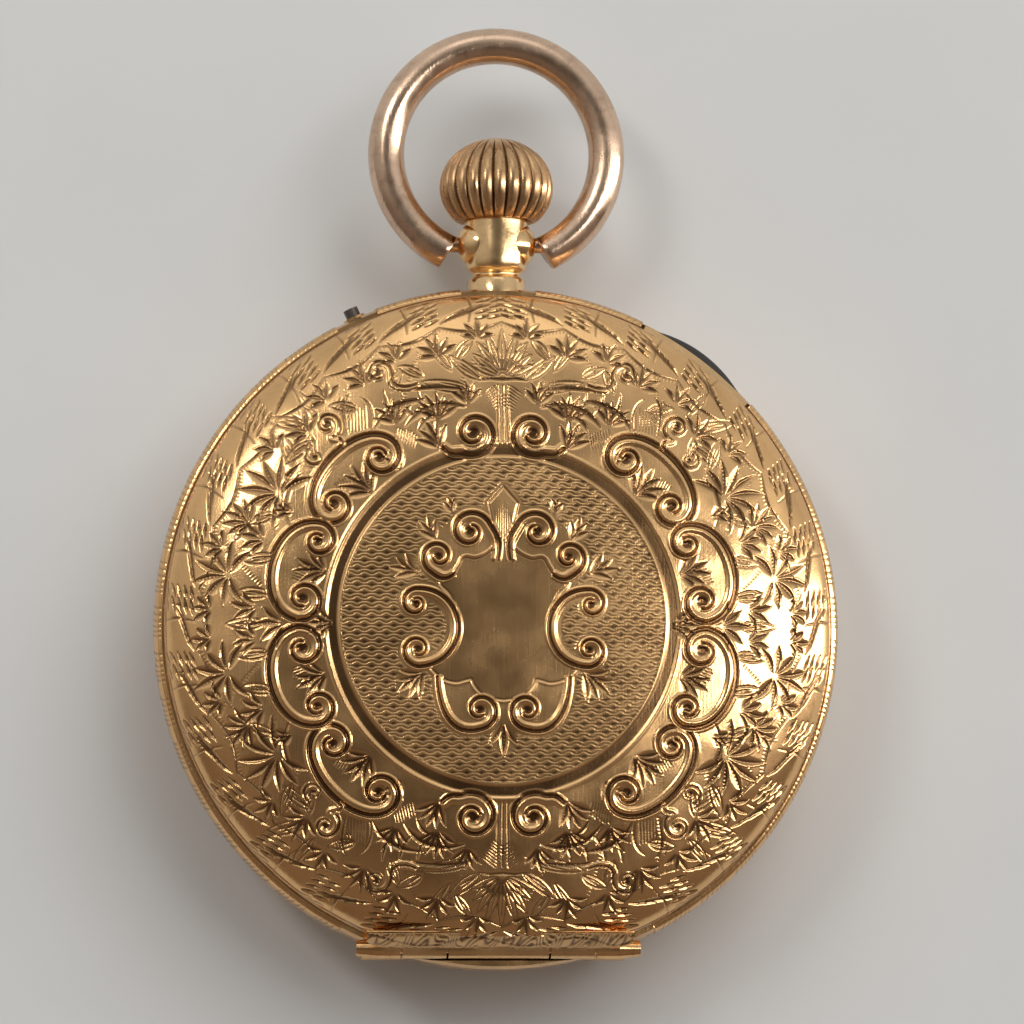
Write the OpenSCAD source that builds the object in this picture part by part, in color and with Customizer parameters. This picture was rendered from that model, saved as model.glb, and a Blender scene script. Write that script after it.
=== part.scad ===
// Open-face fob watch: keyless winding, pin-set hands, Swiss-style bar movement.
// The watch lies on its crystal. The origin is the centre of the crystal's flat
// outer face, +Z points to the engraved back and +Y to the pendant and bow.

/* [Case] */
// Outer diameter of the case band
case_d = 33; // [32.6:0.1:33.4]
// Height of the top of the domed back over the crystal's outer face
back_top = 9.8; // [9.7:0.05:10.2]
// Wall thickness of the hinged back
back_wall = 0.35; // [0.3:0.01:0.4]
// Half length of the hinge barrels
hinge_half = 6.8; // [6.6:0.1:7]
// Radius of the hinge barrels
hinge_r = 0.5; // [0.48:0.01:0.52]
// Radius of the hinge pins
hinge_pin_r = 0.26; // [0.24:0.01:0.28]

/* [Pendant and bow] */
// Height of the winding stem's axis over the crystal's outer face
stem_z = 5; // [4.9:0.05:5.05]
// Distance of the bow's pivots from the case centre
bow_pivot_y = 18.75; // [18.7:0.01:18.85]
// Distance of the bow ring's centre from the case centre
bow_y = 23.2; // [23.1:0.05:23.25]
// Radius of the bow ring along the middle of its wire
bow_ring_r = 5.39; // [5.35:0.01:5.45]
// Radius of the bow's wire
bow_wire_r = 0.875; // [0.82:0.005:0.9]
// Radius of the ball crown
crown_r = 2.78; // [2.7:0.01:2.8]
// Number of flutes on the crown
crown_flutes = 24; // [20:1:28]

/* [Dial and crystal] */
// Radius of the crystal's flat face
crystal_flat_r = 12; // [11.8:0.1:12.2]
// Radius of the dial
dial_r = 12.85; // [12.6:0.05:12.9]

/* [Movement] */
// Radius of the main plate
plate_r = 13.3; // [13.2:0.01:13.32]
// Direction of the barrel from the centre, in degrees
barrel_dir = 40; // [39:1:41]
// Share of the tooth pitch that gear teeth leave free
backlash = 0.16; // [0.14:0.01:0.2]

/* [Hidden] */
$fn = 96;

case_r = case_d / 2;
band_z0 = 2.75;
band_z1 = 6.4;
hinge_y = -15.45;
back_hinge_z = 6.5;
bezel_hinge_z = 2.75;
cover_r = case_r - 0.45;
cover_z0 = 6.43;
lip_dir = 53;
push_dir = 114.7;
push_z = 5.15;

// heights in the movement
plate_z0 = 3.9;
plate_z1 = 4.9;
bridge_z0 = 6.8;
bridge_z1 = 7.5;

// where the arbors stand
C = [0, 0];
B = 5.945 * [cos(barrel_dir), sin(barrel_dir)];
T = 4.5 * [cos(-78), sin(-78)];
F = T + 3.825 * [cos(-60), sin(-60)];
E = F + 3.08 * [cos(190), sin(190)];
W = E + 4.3 * [cos(165), sin(165)];
P = E + 2.3 * [cos(165), sin(165)];
K = [0, 8.6];
M = [0, 3];
S = [0, 6.875];
L = [-7.6, 7.6];
click_p = [10.3, 2.6];

// feet of the bridges
foot_b1 = [11.0, -1.6];
foot_b2 = [-2.95, 11.3];
foot_c = [-9.8, 5.2];
foot_t = [8.4, -6.6];
foot_f = [6.2, -10.3];
foot_e = [0.9, -11.7];
foot_p = [-1.9, -10.9];
foot_w = [-10.6, -4.0];
foot_k = [-4.2, 6.3];

function dir_of(a, b) = atan2(b[1] - a[1], b[0] - a[0]);
function dist(a, b) = norm(b - a);
// angle of gear b's first tooth so that it meshes with gear a
function mesh_phase(phi, na, tha, nb) =
  phi + 180 + ((phi - tha) * na / 360 + 0.5) * 360 / nb;

// barrel and train phases
ph_barrel = 0;
ph_cpin = mesh_phase(dir_of(B, C), 72, ph_barrel, 10);
ph_cwheel = 0;
ph_tpin = mesh_phase(dir_of(C, T), 80, ph_cwheel, 10);
ph_twheel = 0;
ph_fpin = mesh_phase(dir_of(T, F), 75, ph_twheel, 10);
ph_fwheel = 0;
ph_epin = mesh_phase(dir_of(F, E), 70, ph_fwheel, 7);
ph_mwheel = mesh_phase(90, 12, 0, 36);
ph_hwheel = mesh_phase(-90, 10, 0, 40);
ph_swheel = mesh_phase(90, 36, ph_mwheel, 26);
ratchet_m = dist(B, K) * 2 / 60;
ph_ratchet = mesh_phase(dir_of(K, B), 24, 0, 36);

// outer and inner dome of the back
dome_h = back_top - cover_z0;
function dome(r, rr, h) = cover_z0 + h * pow(max(0, 1 - pow(r / rr, 2.6)), 1 / 2.6);
dome_steps = [0, 3, 5.5, 7.5, 9.2, 10.6, 11.8, 12.8, 13.6, 14.25, 14.8, 15.2, 15.5, 15.75, 15.92, 16.02];
function sc(v, k) = v * k;

// ---------- helpers ----------
module at(p, z = 0) { translate([p[0], p[1], z]) children(); }
module disc(r, z0, z1) { translate([0, 0, z0]) cylinder(r = r, h = z1 - z0); }
module along_x(x0, x1, y, z, r) {
  translate([x0, y, z]) rotate([0, 90, 0]) cylinder(r = r, h = x1 - x0);
}
module along_y(y0, y1, r, x = 0, z = stem_z) {
  translate([x, y0, z]) rotate([-90, 0, 0]) cylinder(r = r, h = y1 - y0);
}
// turned shape round the stem's axis; points are [radius, y]
module turned_y(pts) {
  translate([0, 0, stem_z]) rotate([-90, 0, 0]) rotate_extrude() polygon(pts);
}
module bar2d(a, b, w) {
  translate(a) circle(r = w / 2);
  translate(b) circle(r = w / 2);
  translate(a) rotate(dir_of(a, b)) translate([0, -w / 2]) square([dist(a, b), w]);
}
// flat profile in the YZ plane, extruded along X
module prism_x(x0, x1, pts) {
  translate([x0, 0, 0]) rotate([90, 0, 90]) linear_extrude(x1 - x0) polygon(pts);
}
// spur gear outline with straight-sided teeth, first tooth at angle ph
module gear2d(n, m, ph = 0, bl = backlash, add = 0.85, ded = 1.15) {
  rp = n * m / 2;
  half = 90 / n * (1 - bl);
  ra = rp + add * m;
  rd = rp - ded * m;
  polygon([for (i = [0 : n - 1], k = [0 : 3])
    let (a = ph + i * 360 / n + [-1.45, -0.5, 0.5, 1.45][k] * half,
         r = [rd, ra, ra, rd][k])
    [r * cos(a), r * sin(a)]]);
}
module gear(n, m, z0, z1, ph = 0, bl = backlash) {
  translate([0, 0, z0]) linear_extrude(z1 - z0) gear2d(n, m, ph, bl);
}
// wheel with rim, hub and crossings
module train_wheel(n, m, z0, z1, ph, rim, arms, hub = 0.55, arm_w = 0.36) {
  rp = n * m / 2;
  translate([0, 0, z0]) linear_extrude(z1 - z0) {
    difference() {
      gear2d(n, m, ph);
      circle(r = rp - rim);
    }
    circle(r = hub);
    for (i = [0 : arms - 1]) rotate(i * 360 / arms + 20)
      translate([0, -arm_w / 2]) square([rp - rim * 0.6, arm_w]);
  }
}
module arbor(z0, z1, r = 0.2, pz0 = 4.2, pz1 = 7.25, pr = 0.1) {
  disc(r, z0, z1);
  disc(pr, pz0, z0);
  disc(pr, z1, pz1);
}
module screw_head(r, h, slot = 0.14) {
  difference() {
    cylinder(r = r, h = h);
    translate([-r - 0.1, -slot / 2, h * 0.45]) cube([2 * r + 0.2, slot, h]);
  }
}
module band_shape() {
  polygon([[13.4, band_z0], [16.3, band_z0], [16.42, 3.1], [case_r, 4],
    [case_r, 5.2], [16.44, 6.0], [16.3, band_z1], [15.6, band_z1],
    [15.6, 6.88], [15.3, 6.88], [15.3, band_z1], [13.4, band_z1],
    [13.4, plate_z0], [13, plate_z0], [13, 3.35], [13.4, 3.35]]);
}

// ---------- case ----------
module case_middle() {
  color([0.80, 0.62, 0.32]) difference() {
    union() {
      difference() {
        rotate_extrude($fn = 180) band_shape();
        // room in the snap rim for the hinge
        translate([-7.3, -17, band_z1]) cube([14.6, 3.1, 1]);
        // thumb slot beside the back's lip
        rotate(lip_dir) translate([0, 0, 5.55]) difference() {
          cylinder(r = 16.36, h = 2, $fn = 180);
          translate([-12.3, 0, -0.1]) cylinder(r = 28.3, h = 2.2, $fn = 240);
          translate([-60, -30, -0.1]) cube([60, 60, 2.2]);
        }
      }
      // outer knuckles of both hinges
      for (s = [-1, 1]) {
        a = s > 0 ? 4.7 : 1 - hinge_half;
        along_x(a, a + hinge_half - 5.7, hinge_y, back_hinge_z, hinge_r);
        translate([a, hinge_y, 5.9]) cube([hinge_half - 5.7, 0.9, 0.5]);
        // tapered end
        translate([s * (hinge_half - 1), hinge_y, back_hinge_z]) rotate([0, s * 90, 0])
          cylinder(r1 = hinge_r, r2 = hinge_pin_r + 0.12, h = 1, $fn = 48);
        c = s > 0 ? 2.5 : -6.4;
        along_x(c, c + 3.9, hinge_y, bezel_hinge_z, hinge_r);
      }
    }
    // room for the moving knuckles
    along_x(-4.65, 4.65, hinge_y, back_hinge_z, hinge_r + 0.09);
    along_x(-2.45, 2.45, hinge_y, bezel_hinge_z, hinge_r + 0.09);
    // pin bores
    along_x(-8, 8, hinge_y, back_hinge_z, hinge_pin_r);
    along_x(-8, 8, hinge_y, bezel_hinge_z, hinge_pin_r);
    // stem hole, pendant seat and push-piece hole
    along_y(13, 17, 0.6);
    along_y(15.2, 18, 1.4);
    rotate(push_dir) translate([13, 0, push_z]) rotate([0, 90, 0]) cylinder(r = 0.55, h = 5);
    // recesses for the heads of the case screws
    for (a = [20, 185]) rotate(a) translate([12.5, 0, 4.9]) cylinder(r = 1.38, h = 2.1);
  }
}
module pendant() {
  color([0.85, 0.68, 0.38]) difference() {
    union() {
      turned_y([[0.55, 15.2], [1.4, 15.2], [1.4, 16.95], [1.3, 17.08],
        [1.18, 17.14], [1.18, 17.3], [1.28, 17.38], [1.42, 17.5], [1.5, 17.75],
        [1.52, 18.1], [1.52, 19.6], [1.5, 20.1], [1.42, 20.25], [0.55, 20.25]]);
      for (s = [-1, 1]) intersection() {
        translate([s * 0.7, bow_pivot_y, stem_z]) sphere(r = 1.25, $fn = 72);
        translate([s > 0 ? 0.75 : -2.05, 16, 3]) cube([1.3, 6, 4]);
      }
    }
    along_y(15, 21, 0.55);
    along_x(-3, 3, bow_pivot_y, stem_z, 0.42);
  }
}
module bezel() {
  color([0.82, 0.64, 0.34]) difference() {
    union() {
      difference() {
        rotate_extrude($fn = 180) polygon([[12.9, 1.2], [13.4, 1.2],
          [13.4, 0.7], [13.2, 0.6], [13.2, 0.42], [13.6, 0.3], [14.1, 0.36],
          [14.7, 0.6], [15.3, 1.0], [15.8, 1.5], [16.15, 2.05], [16.32, 2.72],
          [13.15, 2.72], [13.15, 1.5], [12.9, 1.5]]);
        along_x(-6.7, 6.7, hinge_y, bezel_hinge_z, 1.15);
      }
      along_x(-2.4, 2.4, hinge_y, bezel_hinge_z, hinge_r);
      prism_x(-2.4, 2.4, [[-15.6, 2.3], [-15.3, 2.3], [-14.3, 1.5], [-14.1, 1.9],
        [-14.25, 2.68], [-14.9, 2.68], [-15.3, 2.72]]);
    }
    along_x(-3, 3, hinge_y, bezel_hinge_z, hinge_pin_r + 0.03);
  }
}
module crystal() {
  color([0.85, 0.92, 0.95, 0.35]) rotate_extrude($fn = 180)
    polygon([[0, 0], [crystal_flat_r, 0], [13.4, 0.7], [13.4, 1.2], [0, 1.2]]);
}
module back_cover() {
  ri = cover_r - back_wall;
  k = ri / cover_r;
  hi = dome_h - back_wall;
  color([0.86, 0.69, 0.40]) difference() {
    union() {
      difference() {
        union() {
          rotate_extrude($fn = 180) polygon(concat(
            [for (r = dome_steps) [r, dome(r, cover_r, dome_h)]],
            [[cover_r, 6.75], [cover_r, cover_z0], [ri, cover_z0], [ri, 6.6]],
            [for (i = [len(dome_steps) - 1 : -1 : 0])
              [dome_steps[i] * k, dome(dome_steps[i] * k, ri, hi)]]));
          // lifting lip over the thumb slot
          rotate(lip_dir - 11) rotate_extrude(angle = 22, $fn = 180)
            polygon([[15.9, cover_z0], [16.3, cover_z0], [16.3, 6.6], [15.95, 6.95], [15.8, 6.9]]);
        }
        translate([-7.1, -18, 6]) cube([14.2, 3.1, 5]);
      }
      along_x(-2.4, 2.4, hinge_y, back_hinge_z, hinge_r);
      prism_x(-2.4, 2.4, [[-15.55, 6.8], [-15.4, 6.4], [-15.1, 6.6], [-14.88, 7.0],
        [-14.5, 7.6], [-14.5, 8.1], [-14.92, 8.0], [-15.25, 7.2]]);
    }
    along_x(-3, 3, hinge_y, back_hinge_z, hinge_pin_r + 0.03);
  }
}
module cuvette() {
  color([0.78, 0.62, 0.36]) difference() {
    union() {
      difference() {
        rotate_extrude($fn = 180) polygon([[0, 8.18], [11.9, 8.12], [12.6, 7.9],
          [13.3, 7.1], [13.55, 6.43], [15.1, 6.43], [15.1, 6.73], [13.85, 6.73],
          [13.55, 7.2], [12.85, 8.12], [12.1, 8.4], [0, 8.46]]);
        translate([-7.1, -18, 6]) cube([14.2, 3.35, 3]);
      }
      for (s = [-1, 1]) {
        a = s > 0 ? 2.5 : -4.6;
        along_x(a, a + 2.1, hinge_y, back_hinge_z, hinge_r);
        prism_x(a, a + 2.1, [[-15.5, 6.6], [-15.3, 6.45], [-14.0, 6.45],
          [-14.0, 6.73], [-14.7, 6.8], [-15.3, 6.95]]);
      }
    }
    along_x(-5, 5, hinge_y, back_hinge_z, hinge_pin_r + 0.03);
  }
}
module back_hinge_pin() {
  color([0.62, 0.48, 0.28]) along_x(-hinge_half, hinge_half, hinge_y, back_hinge_z, hinge_pin_r);
}
module bezel_hinge_pin() {
  color([0.62, 0.48, 0.28]) along_x(-6.4, 6.4, hinge_y, bezel_hinge_z, hinge_pin_r);
}
module bow() {
  a0 = 25.5;
  color([0.74, 0.52, 0.40]) union() {
    translate([0, bow_y, stem_z]) rotate(-90 + a0)
      rotate_extrude(angle = 360 - 2 * a0, $fn = 180)
        translate([bow_ring_r, 0]) circle(r = bow_wire_r, $fn = 48);
    for (s = [-1, 1])
      along_x(s > 0 ? 1.05 : -2.75, s > 0 ? 2.75 : -1.05, bow_pivot_y, stem_z, 0.38);
  }
}
module crown() {
  color([0.66, 0.50, 0.27]) difference() {
    // the skirt reaches down round the top of the pendant
    turned_y([[0.5, 20.4], [1.64, 20.4], [1.64, 19.98], [1.72, 19.9], [2.0, 19.92], [2.28, 20.21],
      [2.52, 20.56], [2.69, 20.94], [2.77, 21.35], [crown_r, 21.55], [2.77, 21.76], [2.69, 22.18],
      [2.48, 22.66], [2.13, 23.12], [1.71, 23.48], [1.18, 23.76], [0.58, 23.94], [0, 24.0],
      [0, 22.6], [0.5, 22.6]]);
    for (i = [0 : crown_flutes - 1])
      translate([0, 19, stem_z]) rotate([-90, 0, 0]) rotate(i * 360 / crown_flutes)
        translate([crown_r + 0.04, 0, 0]) cylinder(r = 0.24, h = 6, $fn = 24);
  }
}
module winding_stem() {
  color([0.45, 0.47, 0.5]) union() {
    along_y(7.75, 8.3, 0.3);
    along_y(8.3, 11.1, 0.42);
    along_y(11.1, 22.6, 0.5);
  }
}
module push_piece() {
  color([0.28, 0.27, 0.27]) rotate(push_dir) translate([0, 0, push_z]) rotate([0, 90, 0]) {
    translate([0, 0, 12.2]) cylinder(r = 0.28, h = 4.2);
    translate([0, 0, 13.55]) cylinder(r = 0.45, h = 0.35);
    translate([0, 0, 16.4]) cylinder(r = 0.36, h = 0.65);
  }
}
module push_piece_guard() {
  color([0.80, 0.62, 0.32]) rotate(push_dir) translate([0, 0, push_z]) rotate([0, 90, 0])
    difference() {
      translate([0, 0, 14.6]) cylinder(r = 0.55, h = 2.0);
      translate([0, 0, 14]) cylinder(r = 0.31, h = 1.75);
      translate([0, 0, 15.65]) cylinder(r = 0.4, h = 2);
    }
}
module case_screws() {
  color([0.35, 0.4, 0.5]) for (a = [20, 185]) rotate(a) translate([12.5, 0, 0]) {
    disc(0.3, 4.2, plate_z1);
    translate([0, 0, plate_z1]) rotate(35) difference() {
      cylinder(r = 1.3, h = 0.35);
      translate([-1.5, -0.12, 0.2]) cube([3, 0.24, 1]);
    }
  }
}

// ---------- dial side ----------
module dial() {
  color([0.95, 0.94, 0.90]) difference() {
    union() {
      rotate_extrude($fn = 180) polygon([[0.75, 2.6], [11.6, 2.6], [dial_r, 2.72],
        [dial_r, 3.1], [0.75, 3.1]]);
      for (a = [60, 180, 300]) rotate(a) translate([11.4, 0, 0]) disc(0.3, 3.0, 4.5);
    }
  }
}
module hand_hole(r) { translate([0, 0, -1]) cylinder(r = r, h = 8); }
module hour_hand() {
  color([0.10, 0.12, 0.30]) difference() {
    rotate(-55) translate([0, 0, 2.18]) linear_extrude(0.16) {
      circle(r = 1.0);
      translate([-0.22, 0]) square([0.44, 4.2]);
      translate([0, 4.7]) circle(r = 0.95);
      polygon([[-0.5, 5.3], [0.5, 5.3], [0, 7.4]]);
    }
    hand_hole(0.6);
  }
}
module minute_hand() {
  color([0.10, 0.12, 0.30]) difference() {
    rotate(60) translate([0, 0, 1.72]) linear_extrude(0.16) {
      circle(r = 0.85);
      translate([-0.18, -1.6]) square([0.36, 8.4]);
      translate([0, 7.2]) circle(r = 0.85);
      polygon([[-0.42, 7.8], [0.42, 7.8], [0, 11.2]]);
    }
    hand_hole(0.38);
  }
}
module cannon_pinion() {
  color([0.55, 0.56, 0.58]) difference() {
    union() {
      gear(12, 0.125, 3.5, 3.86, 0);
      disc(0.38, 1.55, 3.5);
    }
    hand_hole(0.2);
  }
}
module hour_wheel() {
  color([0.80, 0.64, 0.30]) difference() {
    union() {
      gear(40, 0.12, 3.22, 3.42, ph_hwheel);
      disc(0.6, 2.1, 3.3);
    }
    hand_hole(0.42);
  }
}
module minute_wheel() {
  color([0.80, 0.64, 0.30]) difference() {
    at(M) {
      gear(36, 0.125, 3.62, 3.82, ph_mwheel);
      gear(10, 0.12, 3.2, 3.62, 0);
    }
    at(M) hand_hole(0.24);
  }
}
module setting_wheel() {
  color([0.55, 0.56, 0.58]) difference() {
    at(S) gear(26, 0.125, 3.6, 3.82, ph_swheel);
    at(S) hand_hole(0.34);
  }
}
module dial_side_studs() {
  color([0.5, 0.5, 0.52]) {
    at(M) disc(0.2, 3.18, plate_z0);
    at(S) disc(0.3, 3.3, plate_z0);
  }
}

// ---------- plates and bridges ----------
module plate_hole(p, r) { at(p, 3) cylinder(r = r, h = 3); }
module main_plate() {
  color([0.83, 0.80, 0.70]) difference() {
    disc(plate_r, plate_z0, plate_z1);
    for (p = [T, F, E, P, W]) plate_hole(p, 0.13);
    plate_hole(C, 0.45);
    plate_hole(B, 0.5);
    for (a = [60, 180, 300]) rotate(a) translate([11.4, 0, 3]) cylinder(r = 0.3, h = 1.5);
    for (a = [20, 185]) rotate(a) translate([12.5, 0, 4.2]) cylinder(r = 0.3, h = 1);
    // slot for the keyless work and groove for the stem
    translate([-1.95, 10.15, 3]) cube([3.9, 1.05, 3]);
    translate([-1.15, 8.3, 3]) cube([2.3, 2.2, 3]);
    translate([-0.5, 7.6, 4.7]) cube([1, 0.8, 1]);
    along_y(7.6, 8.6, 0.33);
    translate([-0.56, 11.1, stem_z]) cube([1.12, 3, 1]);
    along_y(11.1, 14, 0.56);
    // the push-piece passes over the edge
    rotate(push_dir) translate([11, 0, push_z]) rotate([0, 90, 0]) cylinder(r = 0.55, h = 4);
  }
}
module foot(p, r, z1 = bridge_z0) { at(p) disc(r, plate_z1, z1); }
module foot_bore(p) { at(p, plate_z1 + 0.6) cylinder(r = 0.3, h = 4); }
module barrel_bridge() {
  color([0.86, 0.84, 0.74]) difference() {
    union() {
      difference() {
        translate([0, 0, bridge_z0]) linear_extrude(bridge_z1 - bridge_z0) {
          translate(B) circle(r = 4.0);
          bar2d(foot_b1, B, 3.4);
          bar2d(B, click_p, 2.0);
          bar2d(B, [1.9, 8.2], 4.2);
          bar2d([0, 11.25], foot_b2, 2.1);
          translate(K) circle(r = 3.5);
        }
        at(K, 6) cylinder(r = 2.5, h = 3);
      }
      foot(foot_b1, 1.3);
      foot(foot_b2, 0.85);
    }
    at(B, 6) cylinder(r = 0.53, h = 3);
    foot_bore(foot_b1);
    foot_bore(foot_b2);
    at(click_p, 6.9) cylinder(r = 0.22, h = 2);
  }
}
module simple_bridge(p, f, w, fr, jr = 0.5) {
  difference() {
    union() {
      translate([0, 0, bridge_z0]) linear_extrude(bridge_z1 - bridge_z0) bar2d(p, f, w);
      foot(f, fr);
    }
    at(p, 6) cylinder(r = jr, h = 3);
    foot_bore(f);
  }
}
module centre_bridge() { color([0.86, 0.84, 0.74]) simple_bridge(C, foot_c, 2.4, 1.05); }
module third_bridge() { color([0.86, 0.84, 0.74]) simple_bridge(T, foot_t, 1.8, 1.0); }
module fourth_bridge() { color([0.86, 0.84, 0.74]) simple_bridge(F, foot_f, 1.8, 0.95); }
module escape_cock() { color([0.86, 0.84, 0.74]) simple_bridge(E, foot_e, 1.5, 0.75); }
module balance_cock() {
  color([0.86, 0.84, 0.74]) difference() {
    union() {
      translate([0, 0, bridge_z0]) linear_extrude(bridge_z1 - bridge_z0) {
        bar2d(W, foot_w, 2.2);
        bar2d(foot_w, foot_w + [-0.1, 1.4], 2.6);
      }
      foot(foot_w, 1.3);
    }
    at(W, 6) cylinder(r = 0.5, h = 3);
    foot_bore(foot_w);
    // pin hole for the outer end of the hairspring
    at(W + [-2.1, 0.45], 6.7) cylinder(r = 0.1, h = 1);
  }
}
module pallet_bridge() {
  color([0.86, 0.84, 0.74]) difference() {
    union() {
      translate([0, 0, 5.9]) linear_extrude(0.2) bar2d(P, foot_p, 1.0);
      foot(foot_p, 0.6, 5.95);
    }
    at(P, 5.5) cylinder(r = 0.12, h = 1);
    at(foot_p, 5.2) cylinder(r = 0.2, h = 2);
  }
}
module crown_wheel_cock() {
  color([0.86, 0.84, 0.74]) difference() {
    union() {
      translate([0, 0, 6.05]) linear_extrude(0.4) bar2d(K, foot_k, 1.6);
      foot(foot_k, 0.9, 6.1);
    }
    at(K, 5.9) cylinder(r = 0.53, h = 1);
    at(foot_k, 5.3) cylinder(r = 0.25, h = 2);
  }
}

// ---------- going train ----------
module barrel() {
  color([0.83, 0.68, 0.36]) at(B) difference() {
    union() {
      gear(72, 0.145, 5.02, 5.45, ph_barrel);
      disc(5.0, 5.45, 6.05);
    }
    disc(4.7, 5.2, 6.3);
    disc(0.63, 4, 6.3);
  }
}
module barrel_cover() {
  color([0.85, 0.71, 0.40]) at(B) difference() {
    disc(4.9, 6.05, 6.22);
    disc(0.63, 5, 7);
  }
}
module barrel_arbor() {
  color([0.55, 0.56, 0.58]) at(B) union() {
    disc(0.45, 4.3, 5.0);
    disc(0.6, 5.0, 6.4);
    disc(0.5, 6.4, bridge_z1);
    translate([-0.32, -0.32, bridge_z1]) cube([0.64, 0.64, 0.3]);
  }
}
function spiral(r0, r1, turns, n, off) =
  [for (i = [0 : n]) let (a = 360 * turns * i / n, r = r0 + (r1 - r0) * i / n + off)
    [r * cos(a), r * sin(a)]];
module spiral_band(r0, r1, turns, n, t) {
  polygon(concat(spiral(r0, r1, turns, n, -t / 2),
    [for (i = [n : -1 : 0]) spiral(r0, r1, turns, n, t / 2)[i]]));
}
module mainspring() {
  color([0.40, 0.45, 0.55]) at(B, 5.25) linear_extrude(0.75) spiral_band(0.75, 4.62, 7, 168, 0.12);
}
module centre_wheel() {
  color([0.84, 0.70, 0.38]) union() {
    train_wheel(80, 0.1, 6.4, 6.58, ph_cwheel, 0.55, 5, 0.9, 0.42);
    gear(10, 0.145, 4.98, 6.4, ph_cpin, 0.3);
    disc(0.42, 3.95, 4.98);
    disc(0.2, 1.58, 3.95);
    disc(0.3, 6.58, 6.75);
    disc(0.12, 6.75, 7.3);
  }
}
module third_wheel() {
  color([0.84, 0.70, 0.38]) at(T) union() {
    train_wheel(75, 0.09, 5.12, 5.28, ph_twheel, 0.45, 5, 0.6, 0.32);
    gear(10, 0.1, 6.15, 6.7, ph_tpin, 0.3);
    arbor(4.95, 6.74);
  }
}
module fourth_wheel() {
  color([0.84, 0.70, 0.38]) at(F) union() {
    train_wheel(70, 0.08, 6.08, 6.22, ph_fwheel, 0.42, 5, 0.5, 0.28);
    gear(10, 0.09, 5.0, 5.5, ph_fpin, 0.3);
    arbor(4.95, 6.74);
  }
}
module escape_wheel() {
  color([0.80, 0.80, 0.78]) at(E) union() {
    translate([0, 0, 5.5]) linear_extrude(0.14) {
      difference() {
        polygon([for (i = [0 : 14], k = [0 : 2])
          let (a = i * 24 + [0, 5.5, 9][k], r = [1.22, 1.55, 1.22][k])
          [r * cos(a), r * sin(a)]]);
        circle(r = 0.98);
      }
      circle(r = 0.4);
      for (i = [0 : 3]) rotate(i * 90) translate([0, -0.1]) square([1.1, 0.2]);
    }
    gear(7, 0.08, 5.92, 6.42, ph_epin, 0.3);
    arbor(4.95, 6.74, 0.16);
  }
}
module pallet_lever() {
  color([0.70, 0.72, 0.75]) at(P) union() {
    arbor(5.3, 5.86, 0.16, 4.3, 6.06, 0.09);
    rotate(165) translate([0, 0, 5.5]) linear_extrude(0.16) {
      circle(r = 0.32);
      translate([0, -0.12]) square([1.2, 0.24]);
      difference() {
        translate([1.25, 0]) circle(r = 0.3);
        translate([1.25, -0.13]) square([1, 0.26]);
      }
      // anchor arms that carry the pallet stones, just clear of the escape wheel
      for (s = [-1, 1]) {
        rotate(180 - s * 52) translate([0, -0.13]) square([1.55, 0.26]);
        rotate(180 - s * 52) translate([1.3, -0.13]) rotate(s * 48) square([0.5, 0.24]);
      }
    }
  }
}
module balance_wheel() {
  color([0.84, 0.66, 0.36]) at(W) difference() {
    union() {
      translate([0, 0, 6.2]) linear_extrude(0.28) {
        difference() { circle(r = 3.78); circle(r = 3.35); }
        circle(r = 0.55);
        for (i = [0 : 2]) rotate(i * 120 + 30) translate([0, -0.2]) square([3.5, 0.4]);
      }
      for (i = [0 : 11]) rotate(i * 30 + 15) translate([3.7, 0, 6.34])
        rotate([0, 90, 0]) cylinder(r = 0.13, h = 0.28, $fn = 24);
    }
    disc(0.2, 6, 7);
  }
}
module balance_staff() {
  color([0.55, 0.56, 0.58]) at(W) union() {
    disc(0.1, 4.15, 5.3);
    disc(0.2, 5.3, 6.62);
    disc(0.09, 6.62, 7.3);
    disc(0.6, 5.78, 5.98);
    rotate(-15) translate([0.42, 0, 0]) disc(0.07, 5.7, 5.8);
  }
}
module hairspring() {
  color([0.25, 0.32, 0.55]) at(W) union() {
    translate([0, 0, 6.56]) linear_extrude(0.12) spiral_band(0.42, 2.12, 8, 176, 0.045);
    difference() { disc(0.46, 6.52, 6.7); disc(0.2, 6, 7); }
  }
}
module regulator() {
  color([0.62, 0.64, 0.68]) at(W) difference() {
    translate([0, 0, bridge_z1]) linear_extrude(0.16) {
      circle(r = 1.0);
      rotate(130) translate([0, -0.14]) square([4.2, 0.28]);
      rotate(310) translate([0, -0.2]) square([1.9, 0.4]);
    }
    disc(0.58, 7, 8);
  }
}
module end_stone_cap() {
  color([0.62, 0.1, 0.16]) at(W) disc(0.55, bridge_z1, 7.78);
}

// ---------- keyless work ----------
module ratchet_wheel() {
  color([0.74, 0.74, 0.74]) at(B) difference() {
    gear(36, ratchet_m, bridge_z1, 7.8, ph_ratchet, 0.2);
    translate([-0.32, -0.32, 7]) cube([0.64, 0.64, 2]);
  }
}
module ratchet_screw() {
  color([0.35, 0.4, 0.5]) at(B, 7.8) rotate(25) screw_head(1.15, 0.22, 0.2);
}
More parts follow.
